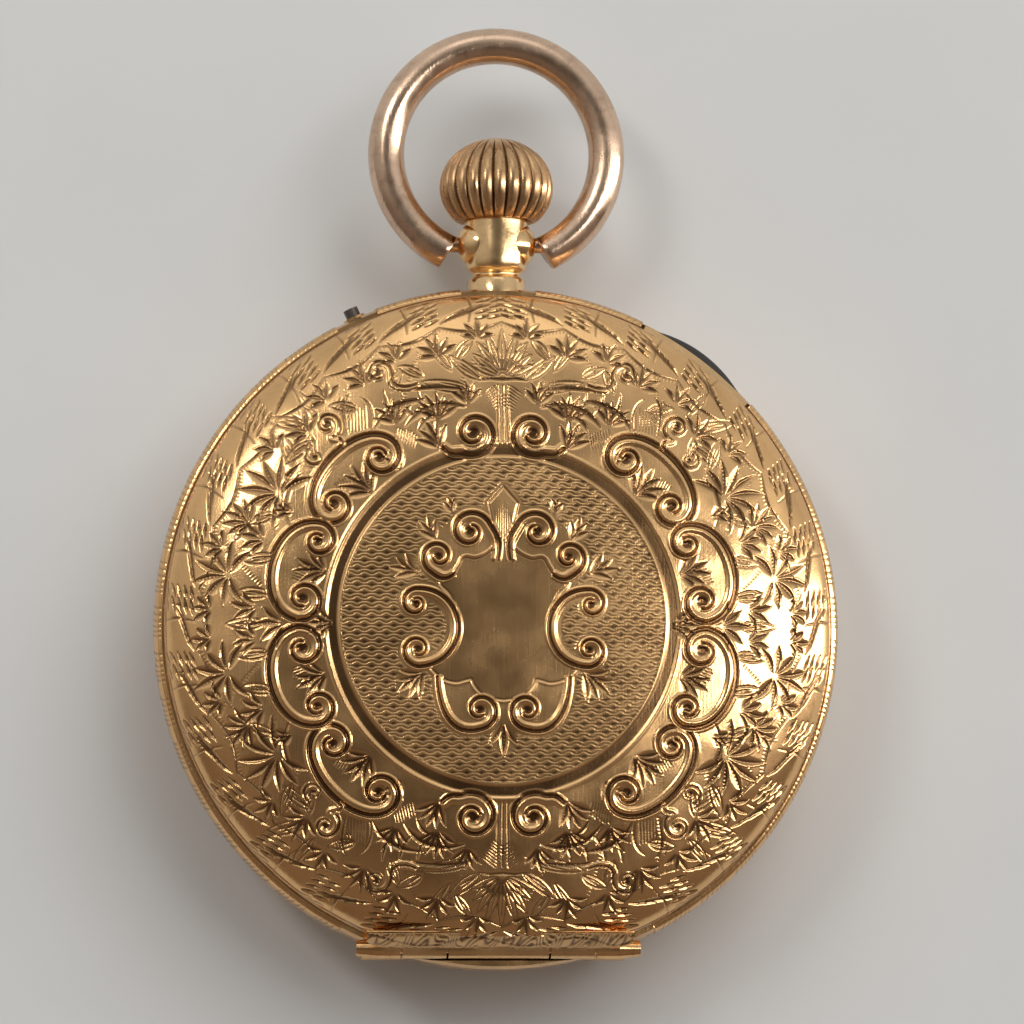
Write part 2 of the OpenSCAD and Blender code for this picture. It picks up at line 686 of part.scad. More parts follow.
// contrate teeth under the crown wheel mesh with the winding pinion
module crown_wheel() {
  color([0.74, 0.74, 0.74]) at(K) difference() {
    union() {
      gear(24, ratchet_m, bridge_z1, 7.8, 0, 0.2);
      disc(2.3, 7.0, bridge_z1);
      disc(1.2, 6.5, 7.0);
      disc(0.5, 6.0, 6.5);
      for (i = [0 : 15]) rotate(i * 22.5 + 90) translate([0, 0, 6.5]) linear_extrude(0.55)
        polygon([[1.68, -0.105], [2.28, -0.13], [2.28, 0.13], [1.68, 0.105]]);
    }
    disc(0.3, 6.6, 8);
  }
}
module crown_wheel_screw() {
  color([0.35, 0.4, 0.5]) at(K) {
    disc(0.3, 6.6, 7.8);
    translate([0, 0, 7.8]) rotate(60) screw_head(0.95, 0.22, 0.18);
  }
}
module winding_pinion() {
  color([0.55, 0.56, 0.58]) difference() {
    translate([0, 10.9, stem_z]) rotate([90, 0, 0]) linear_extrude(0.6) difference() {
      // half a tooth off centre, so that a gap faces the crown wheel's tooth
      gear2d(12, 0.2483, 90 + 15, 0.32, 0.8, 1.2);
      circle(r = 0.42);
    }
  }
}
module clutch() {
  color([0.55, 0.56, 0.58]) difference() {
    turned_y([[0.45, 9.35], [0.95, 9.35], [0.95, 9.6], [0.56, 9.6], [0.56, 9.95],
      [0.98, 9.95], [0.98, 10.22], [0.45, 10.22]]);
    // crown teeth on the inner face
    for (i = [0 : 7]) translate([0, 9.25, stem_z]) rotate([0, i * 45, 0])
      translate([0.55, 0, -0.1]) cube([0.6, 0.2, 0.2]);
  }
}
module setting_lever() {
  tip = [-0.92, 9.775];
  color([0.60, 0.62, 0.66]) difference() {
    union() {
      translate([0, 0, 4.95]) linear_extrude(0.35) {
        bar2d(L, [-1.9, 9.15], 0.75);
        bar2d([-1.75, 9.2], [-1.75, 9.775], 0.3);
        bar2d([-1.75, 9.775], tip, 0.2);
        bar2d(L, 11.8 * [cos(push_dir), sin(push_dir)], 0.75);
        translate(L) circle(r = 0.75);
      }
    }
    at(L, 4) cylinder(r = 0.33, h = 3);
  }
}
module lever_spring() {
  color([0.55, 0.57, 0.62]) union() {
    translate([0, 0, 4.9]) linear_extrude(0.3) {
      bar2d([-10.8, 2.4], [-10.8, 3.0], 1.0);
      bar2d([-10.8, 2.8], [-5.4, 7.3], 0.2);
    }
    // stud the setting lever turns on
    at(L) disc(0.3, 4.9, 5.45);
    at(L) disc(0.6, 5.33, 5.5);
  }
}
module click() {
  color([0.62, 0.64, 0.68]) difference() {
    at(click_p, bridge_z1 + 0.02) linear_extrude(0.26) {
      circle(r = 0.48);
      bar2d([0, 0], B + 4.5 * [cos(12), sin(12)] - click_p, 0.5);
    }
    at(click_p, 7) cylinder(r = 0.25, h = 2);
  }
}
module click_spring() {
  color([0.35, 0.4, 0.5]) union() {
    at(click_p) disc(0.22, 6.9, 7.9);
    at(click_p) disc(0.42, 7.8, 7.95);
    translate([0, 0, bridge_z1]) linear_extrude(0.2) {
      bar2d([9.5, 0.0], [10.2, -0.2], 0.8);
      bar2d([10.2, -0.2], [11.45, 1.6], 0.14);
      bar2d([11.45, 1.6], [10.35, 3.9], 0.14);
    }
  }
}
module bridge_screws() {
  color([0.30, 0.36, 0.50]) {
    for (i = [0 : 6]) let (p = [foot_b1, foot_b2, foot_c, foot_t, foot_f, foot_e, foot_w][i])
      at(p) {
        disc(0.3, plate_z1 + 0.6, bridge_z1);
        translate([0, 0, bridge_z1]) rotate(i * 47) screw_head(0.58, 0.22);
      }
    at(foot_p) { disc(0.2, 5.2, 6.1); translate([0, 0, 6.1]) screw_head(0.36, 0.08); }
    at(foot_k) { disc(0.25, 5.3, 6.45); translate([0, 0, 6.45]) screw_head(0.5, 0.18); }
  }
}
module jewels() {
  color([0.75, 0.08, 0.18]) for (p = [C, T, F, E, W]) at(p) difference() {
    disc(0.5, 6.9, 7.45);
    disc(p == C ? 0.15 : 0.12, 6.5, p == W ? 7.6 : 8);
  }
}

case_middle();
pendant();
bezel();
crystal();
back_cover();
cuvette();
back_hinge_pin();
bezel_hinge_pin();
bow();
crown();
winding_stem();
push_piece();
push_piece_guard();
case_screws();
dial();
hour_hand();
minute_hand();
cannon_pinion();
hour_wheel();
minute_wheel();
setting_wheel();
dial_side_studs();
main_plate();
barrel();
barrel_cover();
barrel_arbor();
mainspring();
barrel_bridge();
centre_bridge();
third_bridge();
fourth_bridge();
escape_cock();
pallet_bridge();
balance_cock();
centre_wheel();
third_wheel();
fourth_wheel();
escape_wheel();
pallet_lever();
balance_wheel();
balance_staff();
hairspring();
regulator();
end_stone_cap();
ratchet_wheel();
ratchet_screw();
crown_wheel();
crown_wheel_cock();
crown_wheel_screw();
click();
click_spring();
winding_pinion();
clutch();
setting_lever();
lever_spring();
bridge_screws();
jewels();
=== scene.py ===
"""Looks of the open-face fob watch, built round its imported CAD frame. Metres, frame of the CAD."""
import math
import bpy
import numpy as np
from mathutils import Matrix, Vector


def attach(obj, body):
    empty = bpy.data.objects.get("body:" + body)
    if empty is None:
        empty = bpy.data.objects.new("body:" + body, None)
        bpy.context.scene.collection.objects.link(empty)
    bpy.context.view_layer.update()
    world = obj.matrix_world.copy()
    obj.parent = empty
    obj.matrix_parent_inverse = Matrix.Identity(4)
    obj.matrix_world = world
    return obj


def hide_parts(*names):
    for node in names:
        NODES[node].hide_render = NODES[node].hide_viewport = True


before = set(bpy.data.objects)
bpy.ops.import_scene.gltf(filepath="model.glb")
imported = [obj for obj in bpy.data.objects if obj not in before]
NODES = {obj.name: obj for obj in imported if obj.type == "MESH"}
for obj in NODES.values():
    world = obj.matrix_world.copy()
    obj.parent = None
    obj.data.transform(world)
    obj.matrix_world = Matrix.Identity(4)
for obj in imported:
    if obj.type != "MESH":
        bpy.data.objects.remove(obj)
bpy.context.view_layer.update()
MM = 0.001
PX = 0.04857          # millimetres per drawing unit of the engraving


# ------------------------------------------------------------------ materials
def new_mat(name):
    m = bpy.data.materials.new(name)
    m.use_nodes = True
    nt = m.node_tree
    nt.nodes.clear()
    out = nt.nodes.new("ShaderNodeOutputMaterial")
    bsdf = nt.nodes.new("ShaderNodeBsdfPrincipled")
    nt.links.new(bsdf.outputs[0], out.inputs[0])
    return m, nt, bsdf


def metal(name, base, rough, dirt=(0.10, 0.06, 0.03), var=0.18, scale=420.0, stretch=(1, 1, 1),
          scratch=4e-6, pit=2e-6, cut=None, dirt_amount=0.35, rough_var=0.12, brush=None, metallic=1.0,
          tint=None, turned=False):
    """Metal with colour clouds, tarnish, fine scratches and a cut attribute that darkens engraving; on the back's
    shield the same attribute carries a painted reflection.
    """
    m, nt, b = new_mat(name)
    N, K = nt.nodes, nt.links
    tc = N.new("ShaderNodeTexCoord")
    b.inputs["Metallic"].default_value = metallic
    # broad colour variation
    n1 = N.new("ShaderNodeTexNoise"); n1.inputs["Scale"].default_value = scale
    n1.inputs["Detail"].default_value = 5.0
    K.new(tc.outputs["Object"], n1.inputs["Vector"])
    r1 = N.new("ShaderNodeValToRGB")
    r1.color_ramp.elements[0].position = 0.30
    r1.color_ramp.elements[1].position = 0.72
    lo = [c * (1 - var) for c in base]
    hi = [min(1.0, c * (1 + var * 0.45)) for c in base]
    if tint:
        lo = [l * t for l, t in zip(lo, tint)]
    r1.color_ramp.elements[0].color = (*lo, 1)
    r1.color_ramp.elements[1].color = (*hi, 1)
    K.new(n1.outputs["Fac"], r1.inputs[0])
    # tarnish specks
    n2 = N.new("ShaderNodeTexNoise"); n2.inputs["Scale"].default_value = scale * 4.3
    n2.inputs["Detail"].default_value = 6.0; n2.inputs["Roughness"].default_value = 0.65
    K.new(tc.outputs["Object"], n2.inputs["Vector"])
    r2 = N.new("ShaderNodeMapRange")
    r2.inputs["From Min"].default_value = 0.52; r2.inputs["From Max"].default_value = 0.74
    r2.inputs["To Min"].default_value = 0.0; r2.inputs["To Max"].default_value = dirt_amount
    K.new(n2.outputs["Fac"], r2.inputs["Value"])
    mix = N.new("ShaderNodeMix"); mix.data_type = "RGBA"
    K.new(r2.outputs[0], mix.inputs["Factor"])
    K.new(r1.outputs[0], mix.inputs[6])
    mix.inputs[7].default_value = (*dirt, 1)
    colour = mix.outputs[2]
    height = None
    if turned:
        # engine turning: pairs of wavy ridges that open and close into rows of lenses
        def mth(op, a, b_=None, c=None, clamp=False):
            nd = N.new("ShaderNodeMath"); nd.operation = op; nd.use_clamp = clamp
            for i, v in enumerate((a, b_, c)):
                if v is None:
                    continue
                if isinstance(v, (int, float)):
                    nd.inputs[i].default_value = v
                else:
                    K.new(v, nd.inputs[i])
            return nd.outputs[0]
        sx = N.new("ShaderNodeSeparateXYZ"); K.new(tc.outputs["Object"], sx.inputs[0])
        Y = mth("MULTIPLY", sx.outputs["Y"], 1 / 0.1928e-3)
        c_ = mth("COSINE", mth("MULTIPLY", sx.outputs["X"], 2 * math.pi / 0.6946e-3))
        s_ = mth("COSINE", mth("MULTIPLY_ADD", Y, math.pi / 2, math.pi / 4))
        d_ = mth("MULTIPLY", mth("MULTIPLY", c_, s_), 0.36)
        h = mth("MULTIPLY_ADD", mth("COSINE", mth("MULTIPLY", mth("ADD", Y, d_), 2 * math.pi)), 0.5, 0.5)
        op_ = mth("MULTIPLY", c_, mth("COSINE", mth("MULTIPLY_ADD", Y, math.pi / 2, -math.pi / 4)))
        lens = mth("MULTIPLY", mth("MULTIPLY_ADD", h, -1.9, 0.95, True), mth("MULTIPLY_ADD", op_, 0.55, 0.42, True))
        tn = N.new("ShaderNodeAttribute"); tn.attribute_name = "turn"
        lens = mth("MULTIPLY", lens, tn.outputs["Fac"])
        height = mth("MULTIPLY", h, tn.outputs["Fac"])
        mt = N.new("ShaderNodeMix"); mt.data_type = "RGBA"
        K.new(lens, mt.inputs["Factor"]); K.new(colour, mt.inputs[6]); mt.inputs[7].default_value = (0.13, 0.062, 0.026, 1)
        colour = mt.outputs[2]
    if cut:
        at = N.new("ShaderNodeAttribute"); at.attribute_name = "cut"
        mc = N.new("ShaderNodeMix"); mc.data_type = "RGBA"
        sc = N.new("ShaderNodeMath"); sc.operation = "MULTIPLY"; sc.use_clamp = True
        sc.inputs[1].default_value = cut[1]
        K.new(at.outputs["Fac"], sc.inputs[0])
        K.new(sc.outputs[0], mc.inputs["Factor"])
        K.new(colour, mc.inputs[6]); mc.inputs[7].default_value = (*cut[0], 1)
        colour = mc.outputs[2]
    K.new(colour, b.inputs["Base Color"])
    # roughness
    n3 = N.new("ShaderNodeTexNoise"); n3.inputs["Scale"].default_value = scale * 2.1
    n3.inputs["Detail"].default_value = 4.0
    K.new(tc.outputs["Object"], n3.inputs["Vector"])
    r3 = N.new("ShaderNodeMapRange")
    r3.inputs["From Min"].default_value = 0.3; r3.inputs["From Max"].default_value = 0.7
    r3.inputs["To Min"].default_value = max(0.04, rough - rough_var / 2)
    r3.inputs["To Max"].default_value = rough + rough_var
    K.new(n3.outputs["Fac"], r3.inputs["Value"])
    K.new(r3.outputs[0], b.inputs["Roughness"])
    # bump: pits and scratches
    n4 = N.new("ShaderNodeTexNoise"); n4.inputs["Scale"].default_value = 9000.0
    n4.inputs["Detail"].default_value = 3.0
    K.new(tc.outputs["Object"], n4.inputs["Vector"])
    bp = N.new("ShaderNodeBump"); bp.inputs["Strength"].default_value = 1.0
    bp.inputs["Distance"].default_value = pit
    K.new(n4.outputs["Fac"], bp.inputs["Height"])
    last = bp
    for k, (ang, sx) in enumerate(((0.5, 26.0), (-0.9, 34.0))):
        mp = N.new("ShaderNodeMapping")
        mp.inputs["Rotation"].default_value = (0.2 * k, 0.15, ang)
        mp.inputs["Scale"].default_value = (14000.0, 14000.0 / sx, 3000.0)
        K.new(tc.outputs["Object"], mp.inputs["Vector"])
        nn = N.new("ShaderNodeTexNoise"); nn.inputs["Scale"].default_value = 1.0
        nn.inputs["Detail"].default_value = 2.0
        K.new(mp.outputs[0], nn.inputs["Vector"])
        b2 = N.new("ShaderNodeBump"); b2.inputs["Strength"].default_value = 1.0
        b2.inputs["Distance"].default_value = scratch
        K.new(nn.outputs["Fac"], b2.inputs["Height"])
        K.new(last.outputs[0], b2.inputs["Normal"])
        last = b2
    if brush:
        w = N.new("ShaderNodeTexWave"); w.wave_type = brush.get("type", "BANDS")
        if w.wave_type == "BANDS":
            w.bands_direction = brush.get("dir", "X")
        w.inputs["Scale"].default_value = brush["scale"]
        w.inputs["Distortion"].default_value = brush.get("dist", 0.5)
        w.inputs["Detail"].default_value = 2.0
        K.new(tc.outputs["Object"], w.inputs["Vector"])
        b3 = N.new("ShaderNodeBump"); b3.inputs["Strength"].default_value = 1.0
        b3.inputs["Distance"].default_value = brush["depth"]
        K.new(w.outputs["Fac"], b3.inputs["Height"])
        K.new(last.outputs[0], b3.inputs["Normal"])
        last = b3
    if height is not None:
        b4 = N.new("ShaderNodeBump"); b4.inputs["Strength"].default_value = 1.0
        b4.inputs["Distance"].default_value = 1.25e-5
        K.new(height, b4.inputs["Height"])
        K.new(last.outputs[0], b4.inputs["Normal"])
        last = b4
    K.new(last.outputs[0], b.inputs["Normal"])
    return m


GOLD = (0.86, 0.53, 0.245)
M = {}
ENG = dict(dirt=(0.42, 0.24, 0.10), var=0.13, scale=260, cut=((0.11, 0.052, 0.022), 0.95), dirt_amount=0.20,
           scratch=3e-6, pit=2.5e-6, rough_var=0.10)
M["engraved"] = metal("engraved_gold", GOLD, 0.19, **ENG)
M["turned"] = metal("turned_gold", GOLD, 0.22, turned=True, **ENG)
M["case"] = metal("case_gold", (0.82, 0.50, 0.23), 0.17, dirt=(0.30, 0.16, 0.07), var=0.18, scale=300,
                  dirt_amount=0.40, scratch=4e-6)
M["neck"] = metal("neck_gold", (0.90, 0.62, 0.32), 0.14, dirt=(0.40, 0.22, 0.08), var=0.14, scale=500,
                  dirt_amount=0.35, scratch=3e-6)
M["inner"] = metal("inner_gold", (0.82, 0.53, 0.26), 0.24, dirt=(0.35, 0.20, 0.09), var=0.15, scale=240,
                   dirt_amount=0.25, brush={"type": "RINGS", "scale": 900.0, "depth": 1.5e-6, "dist": 0.3})
M["bow"] = metal("rose_gold", (0.74, 0.53, 0.38), 0.20, dirt=(0.26, 0.14, 0.10), var=0.20, scale=420,
                 dirt_amount=0.42, scratch=5e-6, pit=3e-6)
M["crown"] = metal("crown_gold", (0.70, 0.44, 0.23), 0.26, dirt=(0.16, 0.08, 0.03), var=0.24, scale=600,
                   cut=((0.050, 0.026, 0.012), 1.0), dirt_amount=0.5, scratch=3e-6)
M["dark"] = metal("dark_steel", (0.16, 0.14, 0.13), 0.36, dirt=(0.07, 0.05, 0.04), var=0.3, scale=900, dirt_amount=0.5)
M["slot"] = metal("slot_shadow", (0.030, 0.026, 0.026), 0.55, dirt=(0.02, 0.015, 0.012), var=0.3, scale=900, dirt_amount=0.5,
                  metallic=0.2)
M["blued"] = metal("blued_steel", (0.035, 0.060, 0.30), 0.18, dirt=(0.05, 0.03, 0.12), var=0.3, scale=700, dirt_amount=0.3)
M["steel"] = metal("polished_steel", (0.60, 0.61, 0.62), 0.20, dirt=(0.25, 0.22, 0.18), var=0.12, scale=600,
                   dirt_amount=0.22, brush={"type": "RINGS", "scale": 1500.0, "depth": 8e-7})
M["bluescrew"] = metal("screw_steel", (0.16, 0.20, 0.36), 0.20, dirt=(0.12, 0.10, 0.16), var=0.25, scale=900, dirt_amount=0.3)
M["gilt"] = metal("gilt_plate", (0.83, 0.70, 0.42), 0.34, dirt=(0.45, 0.34, 0.18), var=0.10, scale=380,
                  dirt_amount=0.22, pit=6e-6, brush={"dir": "DIAGONAL", "scale": 220.0, "depth": 2.5e-6, "dist": 0.6})
M["brass"] = metal("brass_wheel", (0.80, 0.58, 0.24), 0.24, dirt=(0.36, 0.22, 0.08), var=0.14, scale=520,
                   dirt_amount=0.25, brush={"type": "RINGS", "scale": 1800.0, "depth": 8e-7})


def enamel_mat():
    m, nt, b = new_mat("white_enamel")
    N, K = nt.nodes, nt.links
    tc = N.new("ShaderNodeTexCoord")
    n = N.new("ShaderNodeTexNoise"); n.inputs["Scale"].default_value = 300; n.inputs["Detail"].default_value = 4
    K.new(tc.outputs["Object"], n.inputs["Vector"])
    r = N.new("ShaderNodeValToRGB")
    r.color_ramp.elements[0].color = (0.80, 0.78, 0.71, 1); r.color_ramp.elements[0].position = 0.3
    r.color_ramp.elements[1].color = (0.90, 0.885, 0.84, 1); r.color_ramp.elements[1].position = 0.7
    K.new(n.outputs["Fac"], r.inputs[0])
    v = N.new("ShaderNodeTexNoise"); v.inputs["Scale"].default_value = 5200; v.inputs["Detail"].default_value = 2
    K.new(tc.outputs["Object"], v.inputs["Vector"])
    mr = N.new("ShaderNodeMapRange"); mr.inputs["From Min"].default_value = 0.66; mr.inputs["From Max"].default_value = 0.76
    mr.inputs["To Max"].default_value = 0.6
    K.new(v.outputs["Fac"], mr.inputs["Value"])
    mx = N.new("ShaderNodeMix"); mx.data_type = "RGBA"
    K.new(mr.outputs[0], mx.inputs["Factor"]); K.new(r.outputs[0], mx.inputs[6])
    mx.inputs[7].default_value = (0.50, 0.47, 0.40, 1)
    K.new(mx.outputs[2], b.inputs["Base Color"])
    b.inputs["Roughness"].default_value = 0.12
    b.inputs["Coat Weight"].default_value = 0.6
    bp = N.new("ShaderNodeBump"); bp.inputs["Distance"].default_value = 3e-6
    K.new(n.outputs["Fac"], bp.inputs["Height"]); K.new(bp.outputs[0], b.inputs["Normal"])
    return m


def ink_mat():
    m, nt, b = new_mat("dial_black")
    N, K = nt.nodes, nt.links
    tc = N.new("ShaderNodeTexCoord")
    n = N.new("ShaderNodeTexNoise"); n.inputs["Scale"].default_value = 4000; n.inputs["Detail"].default_value = 4
    K.new(tc.outputs["Object"], n.inputs["Vector"])
    r = N.new("ShaderNodeValToRGB")
    r.color_ramp.elements[0].color = (0.010, 0.010, 0.012, 1)
    r.color_ramp.elements[1].color = (0.045, 0.042, 0.045, 1)
    K.new(n.outputs["Fac"], r.inputs[0]); K.new(r.outputs[0], b.inputs["Base Color"])
    b.inputs["Roughness"].default_value = 0.25
    return m


def glass_mat():
    m, nt, b = new_mat("crystal_glass")
    N, K = nt.nodes, nt.links
    tc = N.new("ShaderNodeTexCoord")
    b.inputs["Base Color"].default_value = (0.97, 0.985, 0.98, 1)
    b.inputs["Transmission Weight"].default_value = 1.0
    b.inputs["IOR"].default_value = 1.5
    n = N.new("ShaderNodeTexNoise"); n.inputs["Scale"].default_value = 1400; n.inputs["Detail"].default_value = 5
    K.new(tc.outputs["Object"], n.inputs["Vector"])
    r = N.new("ShaderNodeMapRange"); r.inputs["From Min"].default_value = 0.55; r.inputs["From Max"].default_value = 0.8
    r.inputs["To Min"].default_value = 0.02; r.inputs["To Max"].default_value = 0.14
    K.new(n.outputs["Fac"], r.inputs["Value"]); K.new(r.outputs[0], b.inputs["Roughness"])
    bp = N.new("ShaderNodeBump"); bp.inputs["Distance"].default_value = 1e-6
    K.new(n.outputs["Fac"], bp.inputs["Height"]); K.new(bp.outputs[0], b.inputs["Normal"])
    return m


def ruby_mat():
    m, nt, b = new_mat("ruby")
    N, K = nt.nodes, nt.links
    tc = N.new("ShaderNodeTexCoord")
    n = N.new("ShaderNodeTexNoise"); n.inputs["Scale"].default_value = 2500; n.inputs["Detail"].default_value = 3
    K.new(tc.outputs["Object"], n.inputs["Vector"])
    r = N.new("ShaderNodeValToRGB")
    r.color_ramp.elements[0].color = (0.30, 0.010, 0.035, 1)
    r.color_ramp.elements[1].color = (0.62, 0.030, 0.090, 1)
    K.new(n.outputs["Fac"], r.inputs[0]); K.new(r.outputs[0], b.inputs["Base Color"])
    b.inputs["Roughness"].default_value = 0.06
    b.inputs["Coat Weight"].default_value = 1.0
    b.inputs["Subsurface Weight"].default_value = 0.2
    b.inputs["Subsurface Scale"].default_value = 0.0004
    return m


M["enamel"], M["ink"], M["glass"], M["ruby"] = enamel_mat(), ink_mat(), glass_mat(), ruby_mat()

FINISH = {
    "case": ["case_middle", "bezel", "push_piece_guard", "back_hinge_pin", "bezel_hinge_pin"],
    "neck": ["pendant"], "inner": ["cuvette", "back_cover"], "bow": ["bow"], "crown": ["crown"],
    "dark": ["push_piece"], "glass": ["crystal"], "enamel": ["dial"],
    "blued": ["hour_hand", "minute_hand", "hairspring", "mainspring", "click_spring"],
    "steel": ["winding_stem", "cannon_pinion", "setting_wheel", "dial_side_studs", "barrel_arbor", "escape_wheel",
              "pallet_lever", "balance_staff", "regulator", "ratchet_wheel", "crown_wheel", "click",
              "winding_pinion", "clutch", "setting_lever", "lever_spring"],
    "bluescrew": ["case_screws", "bridge_screws", "ratchet_screw", "crown_wheel_screw"],
    "gilt": ["main_plate", "barrel_bridge", "centre_bridge", "third_bridge", "fourth_bridge", "escape_cock",
             "pallet_bridge", "balance_cock", "crown_wheel_cock"],
    "brass": ["hour_wheel", "minute_wheel", "barrel", "barrel_cover", "centre_wheel", "third_wheel", "fourth_wheel",
              "balance_wheel"],
    "ruby": ["end_stone_cap", "jewels"],
}
for key, names in FINISH.items():
    for n in names:
        o = NODES[n]
        o.data.materials.clear()
        o.data.materials.append(M[key])
left = sorted(set(NODES) - {n for v in FINISH.values() for n in v})
if left:
    raise RuntimeError("no finish for " + ", ".join(left))


# ------------------------------------------------------------------ mesh tools
def make_mesh(name, verts, faces, material, body, replaces=(), normals=None, attr=None, turn=None, smooth=True):
    me = bpy.data.meshes.new(name)
    verts = np.asarray(verts, float)
    me.vertices.add(len(verts))
    me.vertices.foreach_set("co", (verts * MM).astype(np.float32).ravel())
    lens = np.array([len(f) for f in faces], np.int32)
    flat = np.fromiter((i for f in faces for i in f), np.int32, int(lens.sum()))
    me.loops.add(len(flat))
    me.loops.foreach_set("vertex_index", flat)
    me.polygons.add(len(lens))
    starts = np.concatenate([[0], np.cumsum(lens)[:-1]]).astype(np.int32)
    me.polygons.foreach_set("loop_start", starts)
    me.update(calc_edges=True)
    me.validate()
    me.polygons.foreach_set("use_smooth", np.full(len(me.polygons), smooth))
    if attr is not None:
        a = me.attributes.new("cut", "FLOAT", "POINT")
        a.data.foreach_set("value", np.asarray(attr, np.float32))
    if turn is not None:
        a = me.attributes.new("turn", "FLOAT", "POINT")
        a.data.foreach_set("value", np.asarray(turn, np.float32))
    if normals is not None:
        me.normals_split_custom_set_from_vertices([tuple(v) for v in normals])
    me.materials.append(material)
    o = bpy.data.objects.new(name, me)
    bpy.context.scene.collection.objects.link(o)
    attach(o, body)
    if replaces:
        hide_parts(*replaces)
    return o


def grid_faces(nr, nc, base=0, wrap=True, flip=False):
    i, j = np.meshgrid(np.arange(nr - 1), np.arange(nc if wrap else nc - 1), indexing="ij")
    j2 = (j + 1) % nc
    a, b = base + i * nc + j, base + i * nc + j2
    c, d = base + (i + 1) * nc + j2, base + (i + 1) * nc + j
    q = np.stack([a, b, c, d] if not flip else [a, d, c, b], -1).reshape(-1, 4)
    return q.tolist()


def lathe_y(profile, seg, radial=None, zc=5.0):
    """Closed solid turned round the stem's axis. profile: [(radius, y)] starting and ending on the axis or closed."""
    prof = np.asarray(profile, float)
    th = np.arange(seg) * 2 * math.pi / seg
    verts, att, rows = [], [], []
    for k, (r, y) in enumerate(prof):
        rows.append((len(verts), r < 1e-6))
        if r < 1e-6:
            verts.append((0, y, zc)); att.append(0)
        else:
            rr, aa = (np.full(seg, r), np.zeros(seg)) if radial is None else radial(r, y, th)
            for t, q, a in zip(th, rr, aa):
                verts.append((q * math.sin(t), y, zc + q * math.cos(t))); att.append(a)
    faces = []
    n = len(prof)
    closed = prof[0][0] > 1e-6
    for k in range(n if closed else n - 1):
        (a, pa), (b, pb) = rows[k], rows[(k + 1) % n]
        for j in range(seg):
            j2 = (j + 1) % seg
            if pa and pb:
                continue
            if pa:
                faces.append((a, b + j2, b + j))
            elif pb:
                faces.append((a + j, a + j2, b))
            else:
                faces.append((a + j, a + j2, b + j2, b + j))
    return np.array(verts), faces, att


def smooth_profile(pts, per=6):
    """Catmull-Rom curve through the points."""
    p = np.asarray(pts, float)
    p = np.vstack([2 * p[0] - p[1], p, 2 * p[-1] - p[-2]])
    out = []
    for i in range(1, len(p) - 2):
        for t in np.arange(per) / per:
            out.append(0.5 * ((2 * p[i]) + (-p[i - 1] + p[i + 1]) * t + (2 * p[i - 1] - 5 * p[i] + 4 * p[i + 1] - p[i + 2]) * t * t
                              + (-p[i - 1] + 3 * p[i] - 3 * p[i + 1] + p[i + 2]) * t ** 3))
    out.append(p[-2])
    return np.array(out)


# ------------------------------------------------------------------ engraving
CELL, HALF = 0.4, 340.0
NR = int(2 * HALF / CELL)
CUT = np.zeros((NR, NR), np.float32)
RIB = np.zeros((NR, NR), np.float32)
DARK = np.zeros((NR, NR), np.float32)
KEEP = np.ones((NR, NR), np.float32)      # 0 where the engine-turned ground stops
AX = (np.arange(NR) + 0.5) * CELL - HALF
rng = np.random.default_rng(11)
BOLD = 1.3


def _win(x0, x1, y0, y1):
    j0, j1 = max(0, int((x0 + HALF) / CELL)), min(NR, int((x1 + HALF) / CELL) + 2)
    i0, i1 = max(0, int((y0 + HALF) / CELL)), min(NR, int((y1 + HALF) / CELL) + 2)
    return i0, i1, j0, j1


def seg(p, q, w0, w1, d0, d1, kind, dark):
    m = max(w0, w1) / 2 + 1
    i0, i1, j0, j1 = _win(min(p[0], q[0]) - m, max(p[0], q[0]) + m, min(p[1], q[1]) - m, max(p[1], q[1]) + m)
    if i1 <= i0 or j1 <= j0:
        return
    X, Y = AX[None, j0:j1] - p[0], AX[i0:i1, None] - p[1]
    dx, dy = q[0] - p[0], q[1] - p[1]
    L2 = dx * dx + dy * dy
    if L2 < 1e-9:
        return
    t = np.clip((X * dx + Y * dy) / L2, 0, 1)
    ex, ey = X - t * dx, Y - t * dy
    w = np.maximum((w0 + (w1 - w0) * t) / 2, 0.05)
    d = d0 + (d1 - d0) * t
    s = np.sqrt(ex * ex + ey * ey) / w
    sl = np.s_[i0:i1, j0:j1]
    if kind == "clear":
        KEEP[sl] = np.minimum(KEEP[sl], np.clip((s - 1) * 3, 0, 1))
        return
    if kind == "R":          # a ridge that stands over whatever was cut before it
        prof = np.clip(1 - s * s, 0, 1)
        RIB[sl] = np.maximum(RIB[sl], d * prof)
        CUT[sl] *= 1 - np.clip(prof * 1.5, 0, 1)
        DARK[sl] *= 1 - np.clip(prof * 1.7, 0, 1)
        return
    if kind == "g":          # a flat-bottomed groove, dark with patina
        prof = np.clip((1 - s) * 2.0, 0, 1)
        CUT[sl] = np.maximum(CUT[sl], d * prof)
        DARK[sl] = np.maximum(DARK[sl], dark * np.clip((1 - s) * 2.6, 0, 1))
        RIB[sl] *= 1 - prof
        return
    if kind in "lr":
        q_ = s * np.sign(dx * ey - dy * ex) * (1 if kind == "l" else -1)
        prof = np.clip(np.minimum((q_ + 1) / 1.5, (1 - q_) / 0.5), 0, 1)
    elif kind == "v":
        prof = np.clip(1 - s, 0, 1)
    else:
        prof = np.clip(1 - s * s, 0, 1)
    if kind == "b":
        RIB[sl] = np.maximum(RIB[sl], d * prof)
        return
    CUT[sl] = np.maximum(CUT[sl], d * prof)
    DARK[sl] = np.maximum(DARK[sl], dark * np.clip(prof * 1.6 - 0.35, 0, 1))


